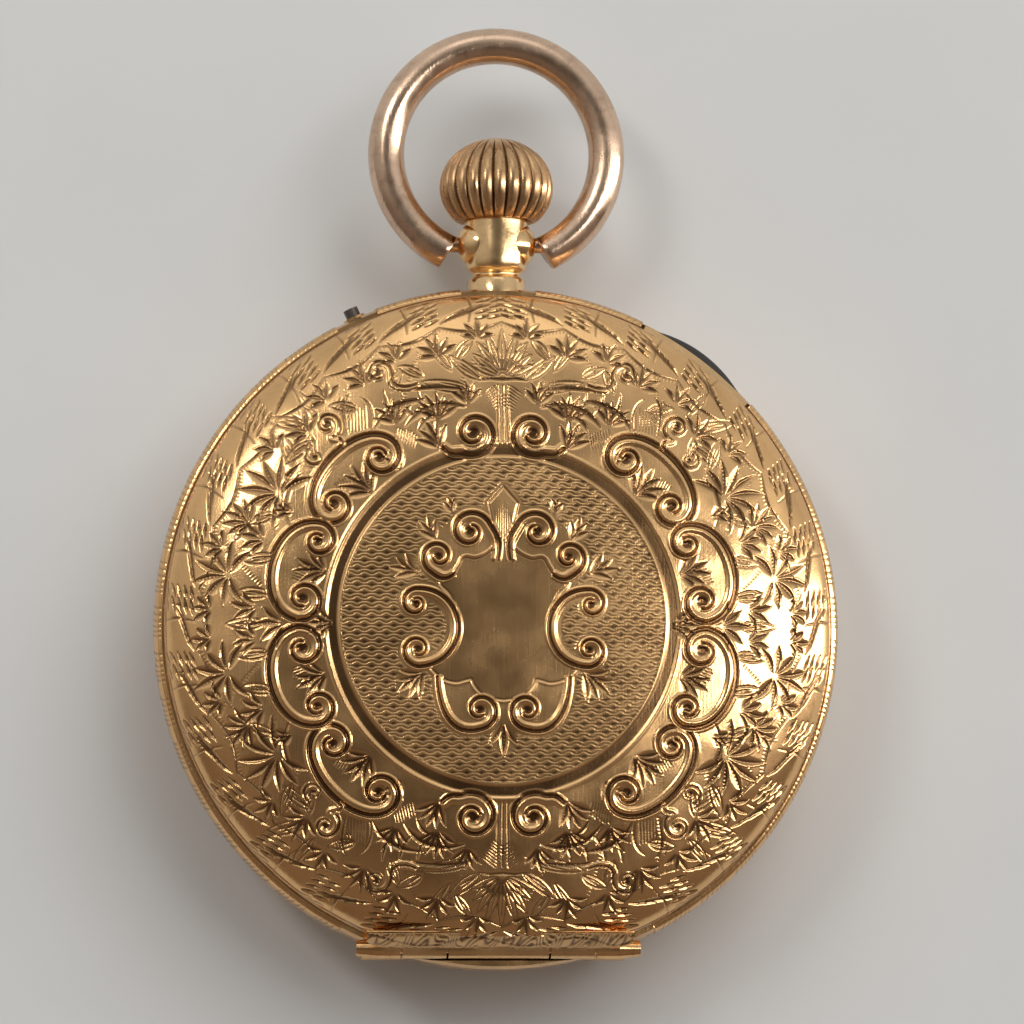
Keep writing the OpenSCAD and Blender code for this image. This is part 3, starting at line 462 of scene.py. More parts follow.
def stroke(pts, w, d=0.05, kind="v", dark=0.75, ends=(0.25, 0.25), clear=0.0):
    """A cut along pts. The width swells to w and tapers to the shares given for its two ends."""
    pts = np.asarray(pts, float)
    n = len(pts)
    u = np.linspace(0, 1, n)
    k = np.minimum(1, np.minimum(ends[0] + (1 - ends[0]) * u / 0.3, ends[1] + (1 - ends[1]) * (1 - u) / 0.3))
    for a in range(n - 1):
        if clear:
            seg(pts[a], pts[a + 1], w * k[a] + clear, w * k[a + 1] + clear, 0, 0, "clear", 0)
        seg(pts[a], pts[a + 1], w * BOLD * k[a], w * BOLD * k[a + 1], d * BOLD * k[a] ** 0.6, d * BOLD * k[a + 1] ** 0.6,
            kind, dark)


def bez(a, b, c, d, n=16):
    t = np.linspace(0, 1, n)[:, None]
    a, b, c, d = (np.asarray(v, float) for v in (a, b, c, d))
    return a * (1 - t) ** 3 + 3 * b * t * (1 - t) ** 2 + 3 * c * t * t * (1 - t) + d * t ** 3


def arc_to(p, q, bend, n=10):
    """A curved line from p to q, bent to its left by bend times its length."""
    p, q = np.asarray(p, float), np.asarray(q, float)
    v = q - p
    nrm = np.array([-v[1], v[0]])
    return bez(p, p + v * 0.3 + nrm * bend * 1.3, p + v * 0.75 + nrm * bend * 1.1, q, n)


def spiral(c, R, a0, turns, ccw, r1=0.2, n=30):
    t = np.linspace(0, 1, n)
    a = math.radians(a0) + (1 if ccw else -1) * turns * 2 * math.pi * t
    r = R * (1 - (1 - r1) * t ** 0.85)
    return np.stack([c[0] + r * np.cos(a), c[1] + r * np.sin(a)], -1)


def offset_line(pts, off):
    d = np.gradient(pts, axis=0)
    d /= np.maximum(np.linalg.norm(d, axis=1, keepdims=True), 1e-6)
    return pts + np.stack([-d[:, 1], d[:, 0]], -1) * off


FLIP = lambda kind, f: kind if not f else {"l": "r", "r": "l"}.get(kind, kind)


def band(pts, w, d, outer, T, taper=None, clear=3.0, dark=0.92, pits=()):
    """A raised scroll: a rounded ridge, a dark groove along its outer side, and a thin bright line beyond that.
    outer is +1 when the outer side is on the left of the path."""
    pts = np.asarray(pts, float)
    u = np.linspace(0, 1, len(pts))
    k = np.ones(len(pts)) if taper is None else np.interp(u, *taper)
    n = (offset_line(pts, 1.0) - pts) * outer
    mid, gr, ln = T(pts - n * (w * 0.16 * k)[:, None]), T(pts + n * (w * 0.22 * k)[:, None]), T(pts + n * (w * 0.50 * k)[:, None])
    c0 = T(pts)
    for a in range(len(pts) - 1):
        if clear:
            seg(c0[a], c0[a + 1], w * k[a] + clear + 3, w * k[a + 1] + clear + 3, 0, 0, "clear", 0)
        seg(gr[a], gr[a + 1], w * 0.50 * k[a] + 0.6, w * 0.50 * k[a + 1] + 0.6, d * 0.8, d * 0.8, "g", dark)
    for c, r in pits:
        c = T(np.asarray(c, float))
        seg(c, c + 0.05, 2 * r, 2 * r, d, d, "g", dark)
    for a in range(len(pts) - 1):
        seg(mid[a], mid[a + 1], w * 0.50 * k[a] + 0.8, w * 0.50 * k[a + 1] + 0.8, d * 0.9, d * 0.9, "R", 0)
        seg(ln[a], ln[a + 1], w * 0.17 * k[a] + 1.0, w * 0.17 * k[a + 1] + 1.0, d * 0.45, d * 0.45, "R", 0)


def c_scroll(A, RA, B, RB, h, side, w, d, T, turns=1.05):
    """A C-shaped scroll with a volute at each end. It bulges to the right of A-B for side +1."""
    A, B = np.asarray(A, float), np.asarray(B, float)
    dv = (B - A) / np.linalg.norm(B - A)
    u = np.array([dv[1], -dv[0]]) * side
    ccw = side > 0
    pa, pb = A - dv * RA, B + dv * RB
    sa = spiral(A, RA, math.degrees(math.atan2(-dv[1], -dv[0])), turns, not ccw, 0.30)[::-1]
    sb = spiral(B, RB, math.degrees(math.atan2(dv[1], dv[0])), turns, ccw, 0.30)
    mid = bez(pa, pa + u * h / 0.75, pb + u * h / 0.75, pb, 22)
    pts = np.vstack([sa, mid[1:-1], sb])
    L = np.cumsum(np.r_[0, np.linalg.norm(np.diff(pts, axis=0), axis=1)])
    U = np.linspace(0, L[-1], 84)
    pts = np.stack([np.interp(U, L, pts[:, 0]), np.interp(U, L, pts[:, 1])], -1)
    band(pts, w, d, -side, T, taper=([0, 0.10, 0.26, 0.5, 0.74, 0.90, 1], [0.45, 0.62, 0.86, 1, 0.86, 0.62, 0.45]),
         pits=((A, RA * 0.34), (B, RB * 0.34)))


def volute(c, R, a0, turns, ccw, w, d, T, tail=None):
    s = spiral(c, R, a0, turns, ccw, 0.28, 34)
    if tail is not None:
        t = np.asarray(tail, float)
        v = s[1] - s[0]
        v /= np.linalg.norm(v)
        L = np.linalg.norm(s[0] - t[0])
        lead = bez(t[0], t[0] + (np.asarray(t[1]) - t[0]) if len(t) > 1 else t[0] + (s[0] - t[0]) * 0.3, s[0] - v * L * 0.45, s[0], 14)
        s = np.vstack([lead[:-1], s])
    band(s, w, d, -1 if ccw else 1, T, taper=([0, 0.2, 0.6, 1], [0.75, 1, 0.85, 0.5]), pits=((c, R * 0.34),))


def blade(p, ang, L, w, T, bend=0.0, d=0.075, dark=0.75, side=1, rib=True):
    """One leaf blade, cut as a facet with a steep dark wall on one side and a bright slope on the other."""
    p = np.asarray(p, float)
    a = math.radians(ang)
    ax = np.array([math.cos(a), math.sin(a)])
    nx = np.array([-ax[1], ax[0]])
    pts = bez(p, p + ax * L * 0.35 + nx * bend * L * 0.35, p + ax * L * 0.7 + nx * bend * L * 0.2, p + ax * L, 10)
    k = np.interp(np.linspace(0, 1, 10), [0, 0.18, 0.42, 0.62, 0.85, 1], [0.18, 0.72, 1, 0.85, 0.4, 0.08])
    q = T(pts)
    mir = (T(np.array([1.0, 1.0])) - T(np.array([0.0, 0.0])))[1] < 0
    kind = "l" if (side > 0) != mir else "r"
    for i in range(9):
        seg(q[i], q[i + 1], w * k[i], w * k[i + 1], d * k[i] ** 0.7, d * k[i + 1] ** 0.7, kind, dark)
    if rib:
        e = T(pts + nx * side * w * 0.55 * k[:, None])
        for i in range(9):
            seg(e[i], e[i + 1], 1.7, 1.7, 0.022, 0.022, "b", 0)


def star(p, ang, n, spread, L, w, T, inner=4.0, vary=0.2):
    """Leaf blades that spread from one point."""
    for k in range(n):
        f = 0 if n == 1 else k / (n - 1) * 2 - 1
        a = ang + f * spread / 2
        l = L * (1 - vary * abs(f)) * (0.92 + 0.16 * rng.random())
        blade(np.asarray(p, float) + polar(inner, a), a, l, w, T, bend=-0.12 * f, side=1 if f <= 0 else -1)


def leaf(p, ang, L, w, bend, T, flip, veins=3, d=0.05, clear=0.0):
    """A leaf: two curved outline cuts that meet at the tip, with tapering veins from the base."""
    p = np.asarray(p, float)
    a = math.radians(ang)
    ax = np.array([math.cos(a), math.sin(a)])
    nx = np.array([-ax[1], ax[0]])
    tip = p + ax * L + nx * bend * L * 0.5
    for s in (-1, 1):
        m1 = p + ax * L * 0.28 + nx * s * w * 0.62
        m2 = p + ax * L * 0.75 + nx * (s * w * 0.42 + bend * L * 0.25)
        stroke(T(bez(p, m1, m2, tip, 11)), 2.0, d * 0.8, FLIP("l" if s > 0 else "r", flip), ends=(0.4, 0.25), clear=clear)
    for k in range(veins):
        f = (k + 1) / (veins + 1) * 2 - 1
        e = p + ax * L * (0.78 - 0.25 * abs(f)) + nx * (f * w * 0.36 + bend * L * 0.22)
        stroke(T(arc_to(p + ax * L * 0.08, e, 0.05 * f)), 1.9, d, "v", ends=(0.9, 0.1), dark=0.6)


def fan(p, ang, spread, n, L, T, w=2.2, d=0.055, vary=0.25, inner=0.15, clear=0.0, dark=0.6):
    """Tapered bright cuts that spread from one point."""
    for k in range(n):
        f = 0 if n == 1 else k / (n - 1) * 2 - 1
        a = math.radians(ang + f * spread / 2)
        l = L * (1 - vary * abs(f)) * (0.94 + 0.12 * rng.random())
        v = np.array([math.cos(a), math.sin(a)])
        s, e = np.asarray(p) + v * L * inner, np.asarray(p) + v * l
        stroke(T(arc_to(s, e, -0.10 * f, 6)), w, d, "v", ends=(0.25, 0.5), dark=dark, clear=clear)


def hatch(p, ang, n, pitch, L, slant, T, w=1.5, d=0.04, grow=0.0, dark=0.55):
    """A row of short parallel cuts along direction ang."""
    a = math.radians(ang)
    ax = np.array([math.cos(a), math.sin(a)])
    b = math.radians(ang + slant)
    cx = np.array([math.cos(b), math.sin(b)])
    for k in range(n):
        c = np.asarray(p) + ax * pitch * k
        l = L * (1 + grow * k / max(1, n - 1)) * (0.9 + 0.2 * rng.random())
        stroke(T(np.stack([c, c + cx * l * 0.5, c + cx * l])), w, d, "v", ends=(0.3, 0.6), dark=dark)


def wriggle(path, T, pitch=3.4, L=3.2, w=1.1, d=0.022):
    """A line of tiny combed nicks along a path."""
    path = np.asarray(path, float)
    S = np.cumsum(np.r_[0, np.linalg.norm(np.diff(path, axis=0), axis=1)])
    U = np.arange(0, S[-1], pitch)
    P = np.stack([np.interp(U, S, path[:, 0]), np.interp(U, S, path[:, 1])], -1)
    if len(P) < 3:
        return
    N_ = offset_line(P, L)
    for a, b in zip(P, N_):
        e = T(np.stack([a, b]))
        seg(e[0], e[1], w, w * 0.6, d, d * 0.7, "v", 0.5)


ident = lambda p: np.asarray(p, float)
down = lambda p: np.asarray(p, float) * [1, -1] + [0, -8.0]


def polar(r, a):
    a = math.radians(a)
    return np.array([r * math.cos(a), r * math.sin(a)])


def poly_inside(poly):
    poly = np.asarray(poly, float)
    X, Y = np.meshgrid(AX, AX)
    i0, i1, j0, j1 = _win(poly[:, 0].min() - 2, poly[:, 0].max() + 2, poly[:, 1].min() - 2, poly[:, 1].max() + 2)
    X, Y = X[i0:i1, j0:j1], Y[i0:i1, j0:j1]
    ins = np.zeros(X.shape, bool)
    for (x0, y0), (x1, y1) in zip(poly, np.roll(poly, -1, 0)):
        c = (y0 > Y) != (y1 > Y)
        with np.errstate(divide="ignore", invalid="ignore"):
            ins ^= c & (X < (x1 - x0) * (Y - y0) / (y1 - y0) + x0)
    return np.s_[i0:i1, j0:j1], ins


# ---- cartouche (drawn for x > 0, mirrored at the end) ----
SH = [(0, 78), (7, 71), (17, 63), (28, 59), (38, 60), (43, 52), (50, 42), (61, 36), (52, 26), (46, 12), (44, -3), (45, -16),
      (50, -30), (58, -39), (70, -45), (64, -53), (56, -58), (46, -60), (38, -58), (31, -57), (28, -63), (22, -70), (12, -75), (0, -77)]
SHR = smooth_profile(SH, 4)
full = np.vstack([SHR, (SHR * [-1, 1])[::-1]])
sl, ins = poly_inside(full)
KEEP[sl] *= ~ins
CUT[sl] = np.maximum(CUT[sl], ins * 0.030)
# painted reflection: the shield's flat field is darkened in colour for the darker reflection it shows
DARK[sl] = np.maximum(DARK[sl], ins * 0.26)
for a in range(len(SHR) - 1):
    seg(SHR[a], SHR[a + 1], 3.6, 3.6, 0.050, 0.050, "l", 0.7)
    o = offset_line(SHR, 3.4)
    seg(o[a], o[a + 1], 2.6, 2.6, 0.022, 0.022, "b", 0)
    seg(SHR[a], SHR[a + 1], 12, 12, 0, 0, "clear", 0)
T = ident
volute((33, 87), 18.5, 165, 1.15, False, 12.0, 0.085, T, tail=[(8, 60), (5, 78)])
volute((64, 62), 15.0, -70, 1.12, True, 11.0, 0.08, T, tail=[(50, 46), (58, 40)])
c_scroll((86, 16), 12.5, (84, -29), 14.5, 38, 1, 11.5, 0.085, T)
volute((23, -88), 16.5, -90, 1.08, False, 11.0, 0.08, T, tail=[(63, -56), (62, -86)])
# palmette over the shield
for a, b in (((0, 131), (14, 115)), ((14, 115), (10, 98)), ((10, 98), (6, 70))):
    stroke([a, ((a[0] + b[0]) / 2, (a[1] + b[1]) / 2), b], 2.4, 0.045, "l", ends=(0.8, 0.8), clear=7)
sl, ins = poly_inside([(0, 131), (14, 115), (10, 98), (12, 70), (0, 66), (-12, 70), (-10, 98), (-14, 115)])
KEEP[sl] *= ~ins
for pl in ([(0, 131), (14, 115), (30, 108), (50, 100), (68, 84), (80, 68), (78, 50), (61, 36), (40, 58), (0, 62)],
           [(0, -74), (22, -70), (38, -58), (62, -50), (66, -72), (46, -100), (20, -108), (0, -104)]):
    sl, ins = poly_inside(pl)
    KEEP[sl] *= ~ins
for x in (0, 2.6, 5.2, 7.8):
    stroke([(x, 66), (x * 0.9, 88), (x * 0.8, 118 - x * 1.6)], 1.2, 0.032, "v", ends=(0.8, 0.3), dark=0.6)
# sprays round the cartouche
for p, ang, spread, n_, L in (((66, 78), 58, 62, 4, 24), ((84, 46), 22, 70, 4, 28), ((78, -52), -38, 90, 5, 30), ((50, 104), 74, 46, 3, 16)):
    c_ = np.asarray(p) + polar(L * 0.55, ang)
    seg(c_, c_ + 0.05, L * 0.85, L * 0.85, 0, 0, "clear", 0)
    star(p, ang, n_, spread, L, 7.0, T, 2.0)
star((0, -100), -90, 3, 70, 30, 8.0, T, 3.0)
seg((0, -118), (0, -112), 22, 22, 0, 0, "clear", 0)

# ---- plain ring round the engine turning ----
RR = np.hypot(AX[None, :], AX[:, None]) / 1.0
ring = np.clip((6.2 - np.abs(RR - 167.0)) / 2.2, 0, 1)
CUT = np.maximum(CUT, (0.05 * ring).astype(np.float32))
DARK = np.maximum(DARK, (0.80 * np.clip((5.4 - np.abs(RR - 166.6)) / 2.0, 0, 1)).astype(np.float32))
for rr, ww, dd in ((159.6, 1.8, 0.022), (175.0, 2.4, 0.03)):
    RIB = np.maximum(RIB, (dd * np.clip(1 - ((RR - rr) / ww) ** 2, 0, 1)).astype(np.float32))

# ---- engine-turned ground ----
# (its wavy ridges are in the material; this is the area they cover)
KEEP = np.minimum(KEEP, KEEP[:, ::-1])
TURN = (KEEP * np.clip((159.0 - RR) / 1.2, 0, 1)).astype(np.float32)

# ---- ring of scrolls and the foliage outside it, drawn for the upper and the lower half ----
for T, fl in ((ident, False), (down, True)):
    # leaves between the scrolls
    star((128, 124), 43, 6, 104, 32, 8.5, T, 3.0)
    star((172, 46), 14, 6, 108, 30, 8.0, T, 3.0)
    star((62, 168), 62, 5, 84, 30, 8.0, T, 3.0)
    star((100, 146), 66, 4, 60, 24, 7.0, T, 3.0)
    star((165, 86), 30, 3, 50, 20, 6.0, T, 2.0)
    volute((29, 184), 21.5, -60, 1.25, False, 13.5, 0.09, T, tail=[(58, 171), (48, 162)])
    c_scroll((121, 160), 18.0, (166, 113), 17.5, 31, -1, 15.0, 0.095, T)
    c_scroll((181, 77), 15.5, (196, 20), 19.0, 36, -1, 14.5, 0.09, T)
    star((64, 196), 84, 7, 120, 27, 8.0, T, 3.0)
    star((104, 192), 70, 6, 110, 26, 8.0, T, 3.0)
    star((34, 212), 82, 5, 90, 24, 7.5, T, 3.0)
    star((205, 104), 20, 4, 70, 20, 7.0, T, 2.0)
    for (hx, hy, ha, hn) in ((10, 206, 62, 8), (88, 168, 20, 8), (140, 128, -20, 8), (182, 52, -62, 8), (150, 196, 30, 7)):
        hatch((hx, hy), ha, hn, 2.8, 15, 82, T, 1.4, 0.034, dark=0.8)
    # leaves that sweep outward from the top volute
    stroke(T(bez((38, 210), (62, 216), (84, 208), (96, 190), 16)), 7.5, 0.065, FLIP("l", fl), ends=(0.3, 0.2))
    stroke(T(bez((60, 201), (72, 202), (80, 196), (84, 184), 12)), 5.0, 0.055, FLIP("l", fl), ends=(0.3, 0.2))
    stroke(T(bez((78, 217), (100, 214), (118, 206), (126, 188), 14)), 7.5, 0.065, FLIP("l", fl), ends=(0.3, 0.2))
    stroke(T(bez((22, 222), (60, 240), (84, 222), (112, 232), 16)), 4.0, 0.055, FLIP("r", fl), ends=(0.3, 0.3))
    for k_ in range(4):
        stroke(T(bez((52 + 17 * k_, 203 - k_ * 2), (60 + 17 * k_, 207 - k_), (66 + 17 * k_, 216), (66 + 17 * k_, 226), 8)), 3.0, 0.05, "v", ends=(0.3, 0.4), dark=0.8)
    # stem and palmette on the centre line
    for x in (0.0, 4.5):
        stroke(T([(x, 168), (x * 1.1, 195), (x * 1.2, 232)]), 2.6, 0.05, "v", ends=(0.5, 0.5))
    stroke(T([(0, 238), (12, 239), (24, 237)]), 3.4, 0.05, "v", ends=(1, 0.4))
    for k, (a, L) in enumerate(((90, 46), (74, 45), (58, 40), (42, 34), (26, 29))):
        v = polar(1, a)
        leaf((0 + v[0] * 4, 240 + v[1] * 4), a, L, 9, -0.12 if k else 0, T, fl, 1, 0.052)
    leaf((20, 238), 28, 40, 13, 0.3, T, fl, 2)
    leaf((30, 228), 4, 50, 13, 0.15, T, fl, 3)
    leaf((50, 246), 62, 34, 11, -0.4, T, fl, 2)
    volute((122, 245), 12.5, 200, 1.1, False, 8.0, 0.06, T, tail=[(84, 232), (96, 226)])
    # shell with upright hatching, small volutes and palmettes outside the scrolls
    stroke(T(bez((130, 184), (124, 202), (130, 216), (140, 220), 12)), 2.6, 0.045, FLIP("r", fl))
    stroke(T(bez((152, 182), (158, 200), (160, 214), (150, 222), 12)), 3.6, 0.05, FLIP("l", fl))
    hatch((134, 184), 0, 6, 3.1, 26, 88, T, 1.3, 0.035)
    volute((172, 192), 13, 250, 1.1, False, 8.5, 0.06, T, tail=[(160, 172), (154, 178)])
    leaf((186, 190), 8, 48, 14, 0.12, T, fl, 3)
    leaf((182, 204), 40, 32, 10, 0.3, T, fl, 2)
    leaf((186, 176), -30, 36, 12, -0.35, T, fl, 2)
    volute((184, 160), 9.5, 60, 1.0, False, 6.5, 0.055, T)
    leaf((204, 150), 66, 34, 12, 0.2, T, fl, 2)
    stroke(T(bez((200, 140), (214, 128), (216, 108), (208, 92), 12)), 5.0, 0.06, FLIP("l", fl), ends=(0.3, 0.3))
    star((219, 124), 36, 9, 236, 36, 10.5, T, 4.0, 0.1)
    star((268, 44), 8, 8, 250, 31, 10.0, T, 4.0, 0.1)
    star((232, 78), 12, 5, 120, 24, 8.5, T)
    leaf((222, 62), -12, 34, 12, 0.2, T, fl, 2)
    leaf((228, 24), 10, 34, 12, -0.2, T, fl, 2)
    star((240, 12), -8, 4, 110, 22, 8.0, T)
    # second row of foliage, further out
    for a, r, n_, L in ((85, 288, 5, 19), (76.5, 276, 6, 23), (68, 284, 5, 21), (60, 276, 6, 24), (51.5, 284, 5, 21), (44, 272, 6, 25),
                        (37, 286, 5, 20), (21, 272, 7, 26), (14.5, 290, 5, 19), (2, 292, 5, 18)):
        star(polar(r - 8, a), a + 16 * (rng.random() - 0.5), n_, 150, L, 8.0, T, 2.5)
    for a, r, L, sg in ((80, 262, 27, 1), (72, 252, 27, -1), (64, 250, 26, 1), (55.5, 252, 27, -1), (40, 244, 25, 1), (25, 246, 26, -1)):
        leaf(polar(r, a), a + 38 * sg, L, 11, 0.35 * sg, T, fl, 2, 0.055)
    # combed lines that separate the leaves
    for a in (80, 66, 50, 34, 22, 8):
        wriggle([polar(240 + k * 3.4, a + k * 0.6) for k in range(14)], T, 3.4, 3.4, 1.4, 0.03)

# fan between the side volutes, on the cross axis
star((164, -4), 0, 5, 84, 26, 8.0, ident)
star((214, -4), 0, 5, 150, 26, 8.5, ident)
leaf((232, -4), 0, 38, 13, 0.0, ident, False, 3)

# ---- outer border: curved leaf sectors, each with parallel hatching ----
SECT = 15
for k in range(SECT):
    st = 180.0 / SECT
    a0 = -90 + (k + 0.5) * st
    # a swag with combed nicks along it
    line = np.array([polar(297 - 8 * math.sin(math.pi * t_), a0 + (t_ - 0.5) * st * 0.98) for t_ in np.linspace(0, 1, 16)])
    stroke(line, 2.2, 0.05, "l", ends=(0.5, 0.5), dark=0.8)
    wriggle(line, ident, 3.6, 4.2, 1.5, 0.035)
    # feather: a row of slanting strokes
    for i in range(7):
        t_ = i / 6
        c = polar(301 + 7 * t_, a0 + (-0.47 + 0.46 * t_) * st)
        b = a0 + 58 + 6 * (rng.random() - 0.5)
        l = 19 + 7 * math.sin(math.pi * t_)
        stroke([c, c + polar(l * 0.5, b), c + polar(l, b + 4)], 2.7, 0.075, "l", ends=(0.35, 0.5), dark=0.85)
    stroke([polar(299, a0 - st * 0.02), polar(315, a0 + st * 0.05), polar(330, a0 + st * 0.03)], 2.4, 0.05, "v", ends=(0.4, 0.4), dark=0.8)
    # ladder: strokes that follow the rim, one outside the other
    for i in range(5):
        for j in range(2):
            c = polar(301.5 + 5.9 * i, a0 + (0.09 + 0.20 * j + 0.02 * i) * st)
            b = a0 + 90 - 14 + 6 * (rng.random() - 0.5)
            stroke([c, c + polar(7, b), c + polar(14.5, b + 3)], 3.0, 0.08, "l", ends=(0.4, 0.5), dark=0.9)
for a in np.arange(-89.6, 90, 0.62):
    e = np.stack([polar(331.2, a), polar(333.4, a + 0.1)])
    seg(e[0], e[1], 1.3, 1.0, 0.025, 0.02, "v", 0.5)

# everything is mirrored about the watch's long axis
for A in (CUT, RIB, DARK):
    np.maximum(A, A[:, ::-1].copy(), out=A)


def blur(A, it=1):
    for _ in range(it):
        A = (A + np.roll(A, 1, 0) + np.roll(A, -1, 0)) / 3
        A = (A + np.roll(A, 1, 1) + np.roll(A, -1, 1)) / 3
    return A


RELIEF = blur(RIB - CUT)
# patina gathers round the cuts, and is thinner on the high outer dome
HALO = blur(DARK, 9)
DARK = blur(DARK)
DARK = np.clip(DARK + HALO * np.interp(RR, [0, 150, 158, 159, 174, 176, 250, 300, 340],
                                       [0.25, 0.25, 0.25, 0.1, 0.1, 0.5, 0.45, 0.25, 0.2]).astype(np.float32), 0, 1)
DARK *= np.interp(RR, [0, 160, 240, 340], [1.0, 1.0, 0.95, 0.9]).astype(np.float32)


def samp(A, x, y):
    u = np.clip((x / PX + HALF) / CELL - 0.5, 0, NR - 1.001)
    v = np.clip((y / PX + HALF) / CELL - 0.5, 0, NR - 1.001)
    j, i = u.astype(int), v.astype(int)
    fu, fv = u - j, v - i
    return (A[i, j] * (1 - fu) * (1 - fv) + A[i, j + 1] * fu * (1 - fv) + A[i + 1, j] * (1 - fu) * fv + A[i + 1, j + 1] * fu * fv)


R0, Z0, HD, EX = 16.05, 6.43, 3.37, 2.6


def surf(x, y, lift=None):
    """Point of the engraved skin over plan position x, y."""
    r = np.minimum(np.hypot(x, y), 16.035)
    k = np.where(np.hypot(x, y) > 1e-9, r / np.maximum(np.hypot(x, y), 1e-9), 1)
    x, y = x * k, y * k
    u = np.maximum(1 - (r / R0) ** EX, 1e-5)
    z = Z0 + HD * u ** (1 / EX)
    dz = -HD * u ** (1 / EX - 1) * r ** (EX - 1) / R0 ** EX
    q = np.sqrt(1 + dz * dz)
    rr = np.maximum(r, 1e-9)
    nx, ny, nz = -dz * x / rr / q, -dz * y / rr / q, 1 / q
    if lift is None:
        t = np.clip((16.0 - r) / 0.22, 0, 1)
        t = t * t * (3 - 2 * t)
        wob = 0.009 * np.sin(x * 1.9 + 1.3 * np.sin(y * 1.1)) * np.sin(y * 1.7 + 0.7) * np.clip((r - 8.4) / 2, 0, 1)
        lift = 0.115 * t + (samp(RELIEF, x, y) + wob) * np.clip(t * 1.5, 0, 1)
    return np.stack([x + nx * lift, y + ny * lift, z + nz * lift], -1)


def skin_normals(x, y):
    e = 0.022
    a = surf(x + e, y) - surf(x - e, y)
    b = surf(x, y + e) - surf(x, y - e)
    n = np.cross(a, b)
    return n / np.linalg.norm(n, axis=-1, keepdims=True)


def rim(phi):
    s = np.sin(phi)
    with np.errstate(divide="ignore"):
        c = np.where(s < 0, 14.86 / np.maximum(-s, 1e-6), 99)
    return np.minimum(15.99, c)


def ring_piece(name, r0, r1, rows, cols, even=True):
    """A closed ring of the engraved skin from radius r0 to r1. r1 None: out to the rim."""
    phi = np.arange(cols) * 2 * math.pi / cols
    t = np.linspace(0, 1, rows)[:, None]
    outer = rim(phi)[None, :] if r1 is None else np.full((1, cols), r1)
    if even:
        r = r0 + (outer - r0) * t
    else:       # even steps along the slope
        g_ = np.linspace(r0, 15.99, 400)
        z = surf(g_, g_ * 0, 0.0)[:, 2]
        s = np.cumsum(np.r_[0, np.hypot(np.diff(g_), np.diff(z))])
        send = np.interp(outer, g_, s)
        r = np.interp((send * t).ravel(), s, g_).reshape(rows, cols)
    x, y = r * np.cos(phi), r * np.sin(phi)
    top = surf(x, y).reshape(-1, 3)
    nrm = skin_normals(x.ravel(), y.ravel())
    sel = np.unique(np.linspace(0, rows - 1, 5).astype(int))
    bot = surf(x[sel], y[sel], -0.05).reshape(-1, 3)
    nb = np.tile([0, 0, -1.0], (len(bot), 1))
    verts = np.vstack([top, bot])
    faces = grid_faces(rows, cols, 0, flip=True)
    B = rows * cols
    faces += grid_faces(len(sel), cols, B, flip=False)
    last = (rows - 1) * cols
    lb = B + (len(sel) - 1) * cols
    for j in range(cols):
        j2 = (j + 1) % cols
        faces.append((last + j, lb + j, lb + j2, last + j2))
        faces.append((j, j2, B + j2, B + j))
    # the ring grid's rows run outward and its columns turn left, so faces look up
    att = np.r_[samp(DARK, x.ravel(), y.ravel()), np.zeros(len(bot))]
    return make_mesh(name, verts, faces, M["turned" if r0 < 8 else "engraved"], "back",
                     normals=np.vstack([nrm, nb]), attr=att,
                     turn=np.r_[samp(TURN, x.ravel(), y.ravel()), np.zeros(len(bot))])


def disc_piece(name, R, n):
    """A closed disc of the engraved skin, on a square grid bent to a circle."""
    u, v = np.meshgrid(np.linspace(-1, 1, n), np.linspace(-1, 1, n), indexing="xy")
    x = R * u * np.sqrt(1 - v * v / 2)
    y = R * v * np.sqrt(1 - u * u / 2)
    x, y = x.ravel(), y.ravel()
    top, nrm = surf(x, y), skin_normals(x, y)
    faces = grid_faces(n, n, 0, wrap=False, flip=False)
    idx = np.arange(n * n).reshape(n, n)
    loop = np.r_[idx[0, :-1], idx[:-1, -1], idx[-1, :0:-1], idx[:0:-1, 0]]
    bx, by = x[loop], y[loop]
    bot = surf(bx, by, -0.05)
    B = n * n
    verts = np.vstack([top, bot, [[0, 0, 9.72]]])
    m = len(loop)
    for k in range(m):
        k2 = (k + 1) % m
        faces.append((int(loop[k]), B + k, B + k2, int(loop[k2])))
        faces.append((B + k, B + m, B + k2))
    att = np.r_[samp(DARK, x, y), np.zeros(m + 1)]
    nb = np.tile([0, 0, -1.0], (m + 1, 1))
    return make_mesh(name, verts, faces, M["turned"], "back", normals=np.vstack([nrm, nb]), attr=att,
                     turn=np.r_[samp(TURN, x, y), np.zeros(m + 1)])


disc_piece("engraved_shield", 4.65, 270)
ring_piece("engraved_ground", 4.65, 8.5, 84, 1100)
ring_piece("engraved_scroll_ring", 8.5, 12.3, 78, 1240)
ring_piece("engraved_foliage", 12.3, 14.6, 54, 1700)
ring_piece("engraved_border", 14.6, None, 52, 1800, even=False)



